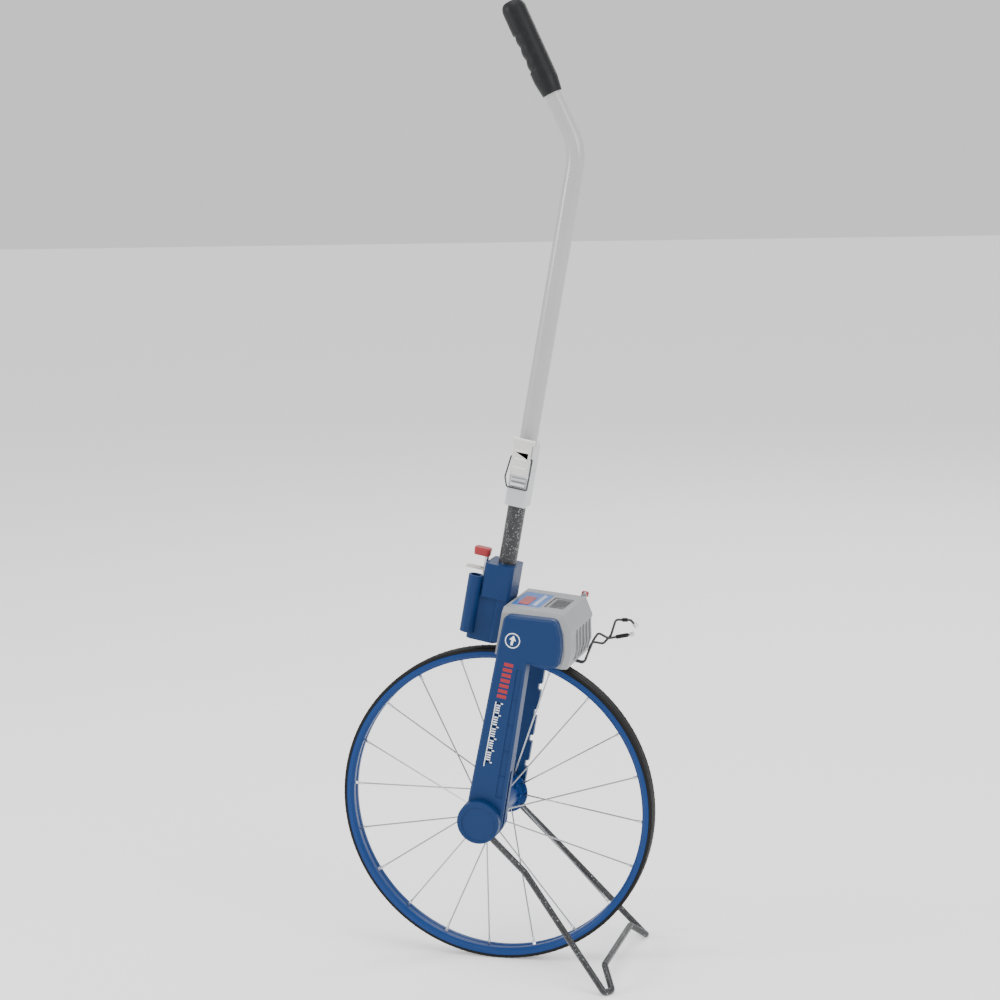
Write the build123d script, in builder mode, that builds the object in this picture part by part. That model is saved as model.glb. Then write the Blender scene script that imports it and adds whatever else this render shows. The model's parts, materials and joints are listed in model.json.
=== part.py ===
"""A folding measuring wheel: a spoked wheel between two legs, a belt-driven digit counter, a wire stand,
a brake and a folding handle. Millimetres, +X the way it travels, +Y along the axle, +Z up, and the origin
on the ground straight below the axle."""

import os
from math import acos, asin, cos, degrees, hypot, pi, radians, sin, sqrt

from build123d import *

os.makedirs("parts", exist_ok=True)

# ---------------------------------------------------------------- driving dimensions
FIT = 0.05  # radial running clearance of a shaft in its hole
WALL = 2.5  # wall of the moulded shells
LEAN = radians(11.3)  # how far the legs and the handle lean forward of upright

WHEEL_R = 199.0  # a wheel of 1.25 m round
TYRE_WIDTH, TYRE_DEPTH = 23.0, 4.3
RIM_DEPTH, RIM_WALL = 9.0, 2.5
SPOKES, FIRST_SPOKE = 20, -4.8  # number, and the angle of the first in degrees
SPOKE_R, FLANGE_R, FLANGE_HOLES_R = 0.9, 26.0, 23.0
FLANGE_IN, FLANGE_OUT = 46.0, 48.5  # distance of a hub flange's faces from the middle
AXLE_R, BEARING_R, BEARING_WIDTH = 5.0, 13.0, 8.0

LEG_IN, LEG_SEAM, LEG_OUT = 56.0, 65.4, 79.0  # |Y| of the legs' inner face, seam and outer face
LEG_TOP = 203.5  # every height "u" is along the lean from the axle, every "v" square to it
LEG_REAR_LOW, LEG_REAR_TOP, LEG_FRONT_LOW, LEG_FRONT_TOP = -20.0, -15.0, 27.0, 23.0
HUB_BOSS_R = 27.0
RIGHT_LEG_FRONT, RIGHT_LEG_OUT, RIGHT_BOSS_R = 17.4, 64.5, 20.0
NOTCH_PITCH, FIRST_NOTCH, NOTCHES = 34.0, 39.0, 4

HEAD_HALF = 63.0  # half the width of the counter housing
HEAD_BOTTOM, HEAD_REAR = 204.0, -20.5
HEAD_FRONT = [(53.0, 268.5), (65.0, 249.5), (70.5, 222.0), (68.5, 204.0)]  # top corner to bottom, v and u
HEAD_REAR_TOP = (-19.5, 262.5)
COVER_HEAD = [(-15.3, 216), (-13.6, 257.6), (49.2, 264.8), (57.6, 246), (61.4, 230), (61, 209), (52, 206), (25.6, 205.2)]
COVER_CORNERS = ((COVER_HEAD[1], 8.0), (COVER_HEAD[2], 9.0), (COVER_HEAD[5], 4.0))  # corner and its rounding
HEAD_CHAMFER = 6.0  # along the head's top and front side edges
WINDOW_V, WINDOW_Y = (23.0, 46.0), (-28.5, 27.5)
LABEL_V, LABEL_Y = (-17.5, 18.5), (-38.0, 38.0)

DRUM_V, DRUM_U, DRUM_R, DRUM_PITCH, DRUMS = 34.0, 246.0, 11.0, 10.3, 5
DRUM_SHAFT_R = 3.0
GEAR_MODULE, TRANSFER_TEETH, DRUM_TEETH = 0.75, 40, 32
GEAR_LINE = radians(29.0)  # direction from the transfer shaft to the drum shaft
GEAR_Y = (-57.0, -54.0)
PULLEY_TEETH, BELT_PITCH = 24, 2.5
BELT_Y = (-63.8, -59.8)

TUBE_V, TUBE_R, TUBE_BORE_R = -39.0, 11.0, 9.2
SOCKET_BOTTOM, SOCKET_STEP, SOCKET_TOP = 203.5, 260.0, 302.0
HOLDER_V, HOLDER_Y, HOLDER_R, HOLDER_BORE_R = -70.5, -19.5, 9.0, 6.5
HOLDER_BOTTOM, HOLDER_TOP = 212.0, 284.0
JOINT_BOTTOM, JOINT_SPLIT, JOINT_TOP, JOINT_HALF = 376.0, 420.0, 453.0, 15.0
HINGE_Y, KNUCKLE_R, HINGE_PIN_R = 26.5, 5.5, 2.5
BEND_U, GRIP_TURN, BEND_R = 809.0, radians(35.3), 72.0
GRIP_START, GRIP_LENGTH, GRIP_R = 72.0, 118.0, 15.5  # start is measured past the bend along the tube

LATCH_Y, LATCH_U, LATCH_PIN_R = -18.4, 415.5, 1.5
BAIL_U, BAIL_BAR_U, BAIL_WIRE_R = 437.0, 399.0, 1.0

ROD_V, ROD_Y, ROD_R = -66.0, 2.0, 2.5
BRAKE_GAP = 12.0  # the shoe's lift off the tyre

STAND_WIRE_R, STAND_Y = 4.0, 70.0
AXLE_END, HUB_CAP_DEPTH = 80.0, 11.0
STAND_BEND = (52.6, 134.0)  # X and Z of the bend below the straight top of a stand leg
FOOT_X, FOOT_Y, CROSSBAR = 159.0, 109.0, (150.0, 25.0, 72.0)
CLIP_WIRE_R = 1.5

AXLE = Axis((0, 0, WHEEL_R), (0, 1, 0))
ACROSS = Vector(cos(LEAN), 0, -sin(LEAN))
ALONG = Vector(sin(LEAN), 0, cos(LEAN))


# ---------------------------------------------------------------- places and planes
def spot(v, u, y=0.0):
    """The point v forward of the leaning line through the axle, u along it, at the given Y."""
    return Vector(0, y, WHEEL_R) + ACROSS * v + ALONG * u


def side(y, v=0.0, u=0.0):
    """A plane facing -Y: x across the lean, y along it."""
    return Plane(origin=spot(v, u, y), x_dir=ACROSS, z_dir=(0, -1, 0))


def level(u, v=0.0, y=0.0):
    """A plane square to the lean: x across it, y along the axle."""
    return Plane(origin=spot(v, u, y), x_dir=ACROSS, z_dir=ALONG)


def facing(v, u=0.0, y=0.0):
    """A plane facing forward: x along the axle, y along the lean."""
    return Plane(origin=spot(v, u, y), x_dir=(0, 1, 0), z_dir=ACROSS)


SECTION = Plane(origin=(0, 0, WHEEL_R), x_dir=(0, 1, 0), z_dir=(1, 0, 0))  # x along the axle, y outwards


def slab(v, u, y):
    """A box between two v, two u and two Y, made outside any builder."""
    block = Box(
        v[1] - v[0], y[1] - y[0], u[1] - u[0], align=(Align.MIN, Align.MIN, Align.MIN), mode=Mode.PRIVATE
    )
    return Plane(origin=spot(v[0], u[0], y[0]), x_dir=ACROSS, z_dir=ALONG) * block


def bar(v, u, y, corner):
    """A box like slab's with its edges along the lean rounded, made outside any builder."""
    with BuildPart(mode=Mode.PRIVATE) as made:
        with BuildSketch(level(u[0], (v[0] + v[1]) / 2, (y[0] + y[1]) / 2)):
            RectangleRounded(v[1] - v[0], y[1] - y[0], corner)
        extrude(amount=u[1] - u[0])
    return made.part


def ring(outer, inner, y, v=0.0, u=0.0):
    """A ring about a line along Y, between two Y, made outside any builder."""
    with BuildPart(mode=Mode.PRIVATE) as made:
        with BuildSketch(side(y[1], v, u)):
            Circle(outer)
            if inner:
                Circle(inner, mode=Mode.SUBTRACT)
        extrude(amount=y[1] - y[0])
    return made.part


def rod_between(start, end, radius):
    """A round bar from one point to another, made outside any builder."""
    run = Vector(*end) - Vector(*start)
    return Plane(origin=start, z_dir=run) * Cylinder(
        radius, run.length, align=(Align.CENTER, Align.CENTER, Align.MIN), mode=Mode.PRIVATE
    )


def bent_wire(points, radii, wire_r):
    """A round wire along straight runs with an arc at each inner point."""
    with BuildPart(mode=Mode.PRIVATE) as made:
        with BuildLine() as path:
            FilletPolyline(*points, radius=radii)
        start = path.wires()[0]
        with BuildSketch(Plane(origin=start @ 0, z_dir=start % 0)):
            Circle(wire_r)
        sweep(path=start)
    return made.part


def write(made, name):
    """Label a finished piece and write its STEP file."""
    made.label = name
    export_step(made, f"parts/{name}.step")


# ---------------------------------------------------------------- the wheel
rim_out = WHEEL_R - TYRE_DEPTH
rim_in = rim_out - RIM_DEPTH
half_width = TYRE_WIDTH / 2

with BuildPart() as tyre:
    with BuildSketch(SECTION):
        with BuildLine():
            Polyline(
                (-half_width, WHEEL_R), (-half_width, rim_out), (-half_width + 2.8, rim_out),
                (-half_width + 2.8, rim_out - 2.6), (half_width - 2.8, rim_out - 2.6),
                (half_width - 2.8, rim_out), (half_width, rim_out), (half_width, WHEEL_R), close=True,
            )
        make_face()
    revolve(axis=AXLE)
    fillet(tyre.edges().filter_by(GeomType.CIRCLE).filter_by(lambda e: e.radius > WHEEL_R - 0.1), 2.0)
write(tyre.part, "tyre")

spoke_angles = [FIRST_SPOKE + 360 / SPOKES * i for i in range(SPOKES)]


def spoke_line(i):
    """The hub and rim ends of spoke i; odd spokes start at the -Y flange."""
    around = radians(spoke_angles[i])
    out = Vector(cos(around), 0, sin(around))
    flange_y = -(FLANGE_IN - 1) if i % 2 else FLANGE_IN - 1
    hub = Vector(0, flange_y, WHEEL_R) + out * FLANGE_HOLES_R
    return hub, Vector(0, 0, WHEEL_R) + out * (rim_in + 1.5)


with BuildPart() as rim:
    with BuildSketch(SECTION):
        with BuildLine():
            Polyline(
                (-half_width, rim_out), (-half_width + RIM_WALL, rim_out),
                (-half_width + RIM_WALL, rim_in + RIM_WALL), (half_width - RIM_WALL, rim_in + RIM_WALL),
                (half_width - RIM_WALL, rim_out), (half_width, rim_out), (half_width - 1.5, rim_in),
                (-half_width + 1.5, rim_in), close=True,
            )
        make_face()
    revolve(axis=AXLE)
    for i in range(SPOKES):
        hub_end, rim_end = spoke_line(i)
        way = (rim_end - hub_end).normalized()
        add(rod_between(rim_end - way * 8, rim_end + way * 4, 2.3), mode=Mode.SUBTRACT)
write(rim.part, "rim")

with BuildPart() as spokes:
    for i in range(SPOKES):
        hub_end, rim_end = spoke_line(i)
        outward = Vector(0, -1 if i % 2 else 1, 0)
        elbow_end = hub_end + outward * (FLANGE_OUT - FLANGE_IN + 1.4)
        spoke = rod_between(hub_end, rim_end, SPOKE_R)
        spoke += rod_between(hub_end - outward * 0.7, elbow_end, SPOKE_R * 0.97)
        spoke += rod_between(elbow_end - outward * 0.2, elbow_end + outward * 0.7, SPOKE_R * 1.8)
        add(spoke)
write(spokes.part, "spokes")

with BuildPart() as nipples:
    for i in range(SPOKES):
        hub_end, rim_end = spoke_line(i)
        way = (rim_end - hub_end).normalized()
        nipple = rod_between(rim_end - way * 8.5, rim_end + way * 2.0, 1.9)
        nipple += rod_between(rim_end + way * 1.9, rim_end + way * 2.8, 3.0)
        add(nipple - rod_between(rim_end - way * 9, rim_end + way * 0.4, SPOKE_R + 0.04))
write(nipples.part, "spoke_nipples")

with BuildPart() as hub_shell:
    with BuildSketch(SECTION):
        with BuildLine():
            Polyline(
                (-FLANGE_OUT, BEARING_R), (-FLANGE_OUT, FLANGE_R), (-FLANGE_IN, FLANGE_R),
                (-FLANGE_IN, 19.5), (-FLANGE_IN + 5, 17), (FLANGE_IN - 5, 17), (FLANGE_IN, 19.5),
                (FLANGE_IN, FLANGE_R),
                (FLANGE_OUT, FLANGE_R), (FLANGE_OUT, BEARING_R), (FLANGE_OUT - BEARING_WIDTH - 1, BEARING_R),
                (FLANGE_OUT - BEARING_WIDTH - 1, 10.5), (-FLANGE_OUT + BEARING_WIDTH + 1, 10.5),
                (-FLANGE_OUT + BEARING_WIDTH + 1, BEARING_R), close=True,
            )
        make_face()
    revolve(axis=AXLE)
    for i in range(SPOKES):
        hub_end, _ = spoke_line(i)
        outward = Vector(0, -1 if i % 2 else 1, 0)
        add(rod_between(hub_end - outward, hub_end + outward * 6, SPOKE_R + 0.15), mode=Mode.SUBTRACT)
write(hub_shell.part, "hub_shell")

bearing_out = FLANGE_OUT - 0.6
with BuildPart() as wheel_bearings:
    for ends in ((-bearing_out, BEARING_WIDTH - bearing_out), (bearing_out - BEARING_WIDTH, bearing_out)):
        add(ring(BEARING_R, AXLE_R + FIT, ends))
write(wheel_bearings.part, "wheel_bearings")


def toothed_pulley(teeth, y, bore_r):
    """A belt pulley with shallow teeth between two thin lips."""
    pitch_r = teeth * BELT_PITCH / (2 * pi)
    with BuildPart(mode=Mode.PRIVATE) as made:
        with BuildSketch(side(y[1])):
            Circle(pitch_r - 0.3)
            with PolarLocations(pitch_r - 0.2, teeth):
                Rectangle(1.1, 1.1, mode=Mode.SUBTRACT)
            Circle(bore_r, mode=Mode.SUBTRACT)
        extrude(amount=y[1] - y[0])
        for lip in ((y[0] - 0.8, y[0]), (y[1], y[1] + 0.8)):
            add(ring(pitch_r + 1.6, bore_r, lip))
    return made.part


with BuildPart() as hub_pulley:
    add(toothed_pulley(PULLEY_TEETH, (BELT_Y[0] - 0.2, BELT_Y[1] + 0.2), AXLE_R + 0.6))
    add(ring(8.0, AXLE_R + 0.6, (BELT_Y[1], -FLANGE_OUT)))
    add(ring(20.0, AXLE_R + 0.6, (-FLANGE_OUT - 2.0, -FLANGE_OUT)))
write(hub_pulley.part, "hub_pulley")

# ---------------------------------------------------------------- the axle and what holds it
with BuildPart() as axle:
    add(ring(AXLE_R, 0, (-LEG_OUT + WALL + 0.2, AXLE_END)))
write(axle.part, "axle")

with BuildPart() as axle_nut:
    with BuildSketch(side(AXLE_END)):
        RegularPolygon(7.5, 6, major_radius=False)
        Circle(AXLE_R, mode=Mode.SUBTRACT)
    extrude(amount=4.6)
write(axle_nut.part, "axle_nut")

with BuildPart() as axle_spacer:
    add(ring(11.0, AXLE_R, (RIGHT_LEG_OUT, STAND_Y - STAND_WIRE_R - 0.4)))
write(axle_spacer.part, "axle_spacer")


# ---------------------------------------------------------------- the legs
def leg_face(front_low, front_top, boss_r, top=LEG_TOP):
    """The outline of a leg with its round boss at the axle."""
    with BuildSketch(mode=Mode.PRIVATE) as outline:
        with BuildLine():
            Polyline((LEG_REAR_LOW, 0), (LEG_REAR_TOP, top), (front_top, top), (front_low, 0), close=True)
        make_face()
        Circle(boss_r)
    return outline.sketch


left_face = leg_face(LEG_FRONT_LOW, LEG_FRONT_TOP, HUB_BOSS_R)
left_room = offset(left_face, -WALL)

with BuildPart() as left_leg:
    with BuildSketch(side(-LEG_IN)):
        add(left_face)
    extrude(amount=LEG_SEAM - LEG_IN)
    with BuildSketch(side(-LEG_IN - 2.2)):
        add(left_room)
        with Locations((4, LEG_TOP)):
            Rectangle(33, 20)
    extrude(amount=LEG_SEAM, mode=Mode.SUBTRACT)
    with BuildSketch(side(-LEG_IN + 1)):
        Circle(8.7)
    extrude(amount=10, mode=Mode.SUBTRACT)
    for u in (52, 112, 172):
        add(slab((LEG_REAR_LOW + 7, 22 - u * 0.012), (u, u + 1.6), (-LEG_IN - 3.2, -LEG_IN - 2.0)))
write(left_leg.part, "left_leg")

with BuildPart() as left_leg_cover:
    with BuildSketch(side(-LEG_SEAM - 0.2)):
        add(leg_face(LEG_FRONT_LOW, LEG_FRONT_TOP, HUB_BOSS_R, LEG_TOP + 10))
    extrude(amount=LEG_OUT - LEG_SEAM - 0.2)
    with BuildSketch(side(-HEAD_HALF - 0.2)) as head_outline:
        with BuildLine():
            Polyline((LEG_REAR_TOP, LEG_TOP + 0.2), *COVER_HEAD, (LEG_FRONT_TOP, LEG_TOP + 0.2), close=True)
        make_face()
        for corner, rounding in COVER_CORNERS:
            fillet(head_outline.vertices().sort_by_distance(corner)[0], rounding)
    extrude(amount=LEG_OUT - HEAD_HALF - 0.2)
    outer_rim = left_leg_cover.faces().sort_by(Axis.Y)[0].outer_wire().edges()
    chamfer(outer_rim, 2.6)
    cover_room = offset(head_outline.sketch_local, -WALL, mode=Mode.PRIVATE)
    with BuildSketch(side(-HEAD_HALF + 1)):
        add(left_room)
        add(cover_room)
        with Locations((4, LEG_TOP)):
            Rectangle(33, 24)
    extrude(amount=LEG_OUT - WALL - HEAD_HALF + 1, mode=Mode.SUBTRACT)
    # the raised print field leaves a shallow ribbed band along the front edge
    with BuildSketch(side(-LEG_OUT + 1.0)):
        with BuildLine():
            Polyline((13.5, 34), (13.0, 196), (20.0, 196), (22.0, 34), close=True)
        make_face()
    extrude(amount=2, mode=Mode.SUBTRACT)
    for u in (60, 92, 124, 156):
        add(slab((13.5, 21.0), (u, u + 1.4), (-LEG_OUT + 0.3, -LEG_OUT + 1.2)))
    add(ring(9.0, AXLE_R, (-LEG_OUT + 0.5, -STAND_Y - STAND_WIRE_R - 0.5)))
    # the stand's wire swings through a slot in the boss and the front wall
    add(slab((0.0, 40.0), (-4, 67.5), (-STAND_Y - STAND_WIRE_R - 0.6, -LEG_SEAM)), mode=Mode.SUBTRACT)
    add(ring(HUB_BOSS_R + 4, 14.0, (-STAND_Y - STAND_WIRE_R - 0.6, -LEG_SEAM)) & slab((-8, 40), (-40, 10), (-80, -60)),
        mode=Mode.SUBTRACT)
write(left_leg_cover.part, "left_leg_cover")

with BuildPart() as left_hub_cap:
    with BuildSketch(side(-LEG_OUT)):
        Circle(HUB_BOSS_R - 0.7)
    extrude(amount=HUB_CAP_DEPTH)
    fillet(left_hub_cap.faces().sort_by(Axis.Y)[0].edges(), 1.6)
    with BuildSketch(side(-LEG_OUT - HUB_CAP_DEPTH + 1.2)):
        with Locations((1.3, -1.3)):
            Circle(21.5)
    extrude(amount=2, mode=Mode.SUBTRACT)
write(left_hub_cap.part, "left_hub_cap")

right_face = leg_face(RIGHT_LEG_FRONT, RIGHT_LEG_FRONT, RIGHT_BOSS_R)
with BuildPart() as right_leg:
    with BuildSketch(side(RIGHT_LEG_OUT)):
        add(right_face)
        for i in range(NOTCHES):
            with Locations((RIGHT_LEG_FRONT, FIRST_NOTCH + NOTCH_PITCH * i)):
                Rectangle(8, 9, mode=Mode.SUBTRACT)
        Circle(AXLE_R, mode=Mode.SUBTRACT)
    extrude(amount=RIGHT_LEG_OUT - LEG_IN)
    with BuildSketch(side(RIGHT_LEG_OUT + 1)):
        for i in range(NOTCHES + 1):
            with Locations((-1.5, FIRST_NOTCH + NOTCH_PITCH * (i - 0.5) + 4)):
                RectangleRounded(24, 28, 3)
    extrude(amount=7, mode=Mode.SUBTRACT)
write(right_leg.part, "right_leg")

with BuildPart() as right_hub_cap:
    with BuildSketch(SECTION):
        with BuildLine():
            Polyline((75, 9.4), (75, 13.5), (82.5, 12.5), (84.5, 9.0), (84.5, 0), (82.3, 0), (82.3, 9.4), close=True)
        make_face()
    revolve(axis=AXLE)
write(right_hub_cap.part, "right_hub_cap")

# ---------------------------------------------------------------- the counter head
head_outline_points = [(HEAD_REAR, HEAD_BOTTOM), (HEAD_REAR, HEAD_REAR_TOP[1]), *HEAD_FRONT]
transfer_v = DRUM_V - GEAR_MODULE * (TRANSFER_TEETH + DRUM_TEETH) / 2 * cos(GEAR_LINE)
transfer_u = DRUM_U - GEAR_MODULE * (TRANSFER_TEETH + DRUM_TEETH) / 2 * sin(GEAR_LINE)
top_slope = (HEAD_FRONT[0][1] - HEAD_REAR_TOP[1]) / (HEAD_FRONT[0][0] - HEAD_REAR)


def head_top(v):
    """The height of the housing's top at v."""
    return HEAD_REAR_TOP[1] + (v - HEAD_REAR) * top_slope


def on_top(v, y, depth=0.0):
    """A plane on the housing's sloping top, sunk by depth: x down the slope, y along the axle."""
    run = (ACROSS + ALONG * top_slope).normalized()
    up = (ALONG - ACROSS * top_slope).normalized()
    return Plane(origin=spot(v, head_top(v), y) - up * depth, x_dir=run, z_dir=up)


def above(edge, u):
    """Whether an edge's middle is higher along the lean than u."""
    return (edge.center() - spot(0, 0)).dot(ALONG) > u


def ahead(edge, v):
    """Whether an edge's middle is further forward than v."""
    return (edge.center() - spot(0, 0)).dot(ACROSS) > v


def top_field(v, y, depth, thickness, corner):
    """A flat rounded plate sunk into the top between two v and two Y."""
    with BuildPart(mode=Mode.PRIVATE) as made:
        with BuildSketch(on_top(sum(v) / 2, sum(y) / 2, depth)):
            RectangleRounded(v[1] - v[0], y[1] - y[0], corner)
        extrude(amount=thickness)
    return made.part


with BuildPart() as counter_housing:
    with BuildSketch(side(HEAD_HALF)):
        with BuildLine():
            Polyline(*head_outline_points, close=True)
        make_face()
    extrude(amount=2 * HEAD_HALF)
    side_rims = counter_housing.faces().filter_by(Axis.Y).edges()
    chamfer([e for e in side_rims if above(e, HEAD_BOTTOM + 2) and ahead(e, HEAD_REAR + 5)], HEAD_CHAMFER)
    with BuildPart(mode=Mode.PRIVATE) as head_room:
        with BuildSketch(side(HEAD_HALF - WALL)):
            with BuildLine():
                Polyline(
                    (HEAD_REAR + WALL, HEAD_BOTTOM - 1), (HEAD_REAR + WALL, head_top(HEAD_REAR) - WALL),
                    (HEAD_FRONT[0][0] - 2.6, HEAD_FRONT[0][1] - WALL), (HEAD_FRONT[1][0] - 5.5, HEAD_FRONT[1][1]),
                    (HEAD_FRONT[1][0] - 5.5, HEAD_BOTTOM - 1), close=True,
                )
            make_face()
        extrude(amount=2 * (HEAD_HALF - WALL))
        room_rims = head_room.faces().filter_by(Axis.Y).edges()
        chamfer([e for e in room_rims if above(e, 250) and ahead(e, HEAD_REAR + 5)], HEAD_CHAMFER - 1)
    add(head_room.part, mode=Mode.SUBTRACT)
    with BuildSketch(side(-HEAD_HALF + WALL + 1)):
        with BuildLine():
            Polyline(
                (-12, 200), (-12, 252), (48, 257), (56, 240), (57, 214), (30, 214), (30, 200), close=True
            )
        make_face()
    extrude(amount=WALL + 2, mode=Mode.SUBTRACT)
    add(top_field(LABEL_V, LABEL_Y, 0.8, 5, 1.5), mode=Mode.SUBTRACT)
    add(top_field(WINDOW_V, WINDOW_Y, 1.4, 5, 1.5), mode=Mode.SUBTRACT)
    add(
        top_field((WINDOW_V[0] + 2, WINDOW_V[1] - 2), (WINDOW_Y[0] + 2, WINDOW_Y[1] - 2), 5, 8, 1.0),
        mode=Mode.SUBTRACT,
    )
    add(ring(3.0, 0, (HEAD_HALF - 5, HEAD_HALF + 1), DRUM_V, DRUM_U), mode=Mode.SUBTRACT)
    # upright slots leave fins on the lower front
    for i in range(6):
        fin_y = -30 + 16.0 * i
        add(slab((HEAD_FRONT[1][0] - 0.4, 80), (209, 246), (fin_y, fin_y + 11)), mode=Mode.SUBTRACT)
write(counter_housing.part, "counter_housing")


def pan_screw(place, head_r, shank_r, length):
    """A pan head on the given plane with its shank going the other way."""
    with BuildPart(mode=Mode.PRIVATE) as made:
        with BuildSketch(place):
            Circle(head_r)
        extrude(amount=head_r * 0.6)
        with BuildSketch(place):
            Circle(shank_r)
        extrude(amount=-length)
    return made.part


with BuildPart() as base_screws:
    for v, y in ((-6, 16), (-6, -30), (40, 16), (40, -30)):
        add(pan_screw(Plane(origin=spot(v, HEAD_BOTTOM, y), x_dir=ACROSS, z_dir=-ALONG), 3.0, 1.5, 8))
write(base_screws.part, "base_screws")

with BuildPart() as counter_base:
    add(slab((HEAD_REAR + WALL, HEAD_FRONT[1][0] - 5.5), (HEAD_BOTTOM, HEAD_BOTTOM + 2.6),
             (-HEAD_HALF + WALL, HEAD_HALF - WALL)))
    add(slab((-8, 30), (HEAD_BOTTOM - 1, HEAD_BOTTOM + 4), (-HEAD_HALF, -57)), mode=Mode.SUBTRACT)
    add(base_screws.part, mode=Mode.SUBTRACT)
write(counter_base.part, "counter_base")

with BuildPart() as counter_window:
    add(top_field((WINDOW_V[0] + 0.2, WINDOW_V[1] - 0.2), (WINDOW_Y[0] + 0.2, WINDOW_Y[1] - 0.2), 1.4, 1.2, 1.3))
write(counter_window.part, "counter_window")

with BuildPart() as label_plate:
    add(top_field((LABEL_V[0] + 0.2, LABEL_V[1] - 0.2), (LABEL_Y[0] + 0.2, LABEL_Y[1] - 0.2), 0.8, 0.7, 1.3))
write(label_plate.part, "label_plate")

drum_start = -26.5  # Y where the first digit drum begins
frame_plates = ((-52.0, -50.0), (29.0, 31.0))
with BuildPart() as counter_frame:
    for y in frame_plates:
        add(slab((5, 46), (HEAD_BOTTOM + 2.6, DRUM_U + 5), y))
    add(slab((-11, 46), (HEAD_BOTTOM + 2.6, HEAD_BOTTOM + 4.6), (frame_plates[0][0], frame_plates[1][1])))
    add(ring(DRUM_SHAFT_R + FIT, 0, (-60, 36), DRUM_V, DRUM_U), mode=Mode.SUBTRACT)
    add(ring(DRUM_SHAFT_R + FIT, 0, (-60, -40), transfer_v, transfer_u), mode=Mode.SUBTRACT)
    add(base_screws.part, mode=Mode.SUBTRACT)
write(counter_frame.part, "counter_frame")


def spur_gear(teeth, v, u, turn, bore_r):
    """A spur gear with straight-flanked teeth cut a little thin for backlash."""
    pitch_r = GEAR_MODULE * teeth / 2
    root, tip = pitch_r - GEAR_MODULE * 1.25, pitch_r + GEAR_MODULE * 0.85
    half_root, half_tip = GEAR_MODULE * 0.92, GEAR_MODULE * 0.36
    with BuildPart(mode=Mode.PRIVATE) as made:
        with BuildSketch(side(GEAR_Y[1], v, u)):
            Circle(root)
            with PolarLocations(0, teeth, start_angle=turn):
                with BuildLine(mode=Mode.PRIVATE) as tooth:
                    Polyline((root - 0.3, -half_root), (tip, -half_tip), (tip, half_tip), (root - 0.3, half_root),
                             close=True)
                add(make_face(tooth.edges(), mode=Mode.PRIVATE))
            Circle(bore_r, mode=Mode.SUBTRACT)
        extrude(amount=GEAR_Y[1] - GEAR_Y[0])
    return made.part


line_angle = degrees(GEAR_LINE)
with BuildPart() as transfer_shaft:
    add(ring(DRUM_SHAFT_R, 0, (-66.0, -47.0), transfer_v, transfer_u))
    add(ring(DRUM_SHAFT_R + 2, DRUM_SHAFT_R, (-49.6, -47.6), transfer_v, transfer_u))
write(transfer_shaft.part, "transfer_shaft")

with BuildPart() as transfer_pulley:
    add(Location(spot(transfer_v, transfer_u) - spot(0, 0))
        * toothed_pulley(PULLEY_TEETH, (BELT_Y[0] - 0.2, BELT_Y[1] + 0.2), DRUM_SHAFT_R))
write(transfer_pulley.part, "transfer_pulley")

with BuildPart() as transfer_gear:
    add(spur_gear(TRANSFER_TEETH, transfer_v, transfer_u, line_angle, DRUM_SHAFT_R))
write(transfer_gear.part, "transfer_gear")

with BuildPart() as drum_shaft:
    add(ring(DRUM_SHAFT_R, 0, (-58.0, 34.0), DRUM_V, DRUM_U))
write(drum_shaft.part, "drum_shaft")

with BuildPart() as drum_gear:
    add(spur_gear(DRUM_TEETH, DRUM_V, DRUM_U, line_angle + 180 + 180 / DRUM_TEETH, DRUM_SHAFT_R))
write(drum_gear.part, "drum_gear")

for n in range(DRUMS):
    drum_y = drum_start + DRUM_PITCH * (DRUMS - 1 - n)
    with BuildPart() as digit_drum:
        add(ring(DRUM_R, DRUM_SHAFT_R + (FIT if n else 0), (drum_y, drum_y + DRUM_PITCH - 0.8), DRUM_V, DRUM_U))
    write(digit_drum.part, f"digit_drum_{n + 1}")

# the belt: two straight runs and two half turns
belt_run = hypot(transfer_v, transfer_u)
belt_way = degrees(acos(transfer_v / belt_run))
belt_in = PULLEY_TEETH * BELT_PITCH / (2 * pi) - 0.2
with BuildPart() as drive_belt:
    with BuildSketch(side(BELT_Y[1])):
        with Locations((transfer_v / 2, transfer_u / 2)):
            SlotCenterToCenter(belt_run, 2 * (belt_in + 1.2), rotation=belt_way)
            SlotCenterToCenter(belt_run, 2 * belt_in, rotation=belt_way, mode=Mode.SUBTRACT)
    extrude(amount=BELT_Y[1] - BELT_Y[0])
write(drive_belt.part, "drive_belt")

# the reset lever turns on a stub outside the right wall
reset_y = (HEAD_HALF + 0.3, HEAD_HALF + 2.3)
knob_v, knob_u = 49.5, 268.2
with BuildPart() as reset_pivot:
    add(ring(3.0, 0, (HEAD_HALF - 3.5, HEAD_HALF + 4.0), DRUM_V, DRUM_U))
    add(ring(5.0, 0, (reset_y[1] + 0.3, reset_y[1] + 1.6), DRUM_V, DRUM_U))
write(reset_pivot.part, "reset_pivot")

with BuildPart() as reset_lever:
    reset_reach = hypot(knob_v - DRUM_V, knob_u - DRUM_U)
    with BuildSketch(side(reset_y[1], DRUM_V, DRUM_U)):
        Circle(6.0)
        with Locations(((knob_v - DRUM_V) / 2, (knob_u - DRUM_U) / 2)):
            SlotCenterToCenter(reset_reach, 6.0, rotation=degrees(acos((knob_v - DRUM_V) / reset_reach)))
        Circle(3.0 + FIT, mode=Mode.SUBTRACT)
    extrude(amount=reset_y[1] - reset_y[0])
write(reset_lever.part, "reset_lever")

with BuildPart() as reset_knob:
    add(slab((knob_v - 4.5, knob_v + 4.0), (knob_u - 2.8, knob_u + 3.6), (reset_y[1], reset_y[1] + 7)))
    fillet(reset_knob.edges(), 1.4)
write(reset_knob.part, "reset_knob")

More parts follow.
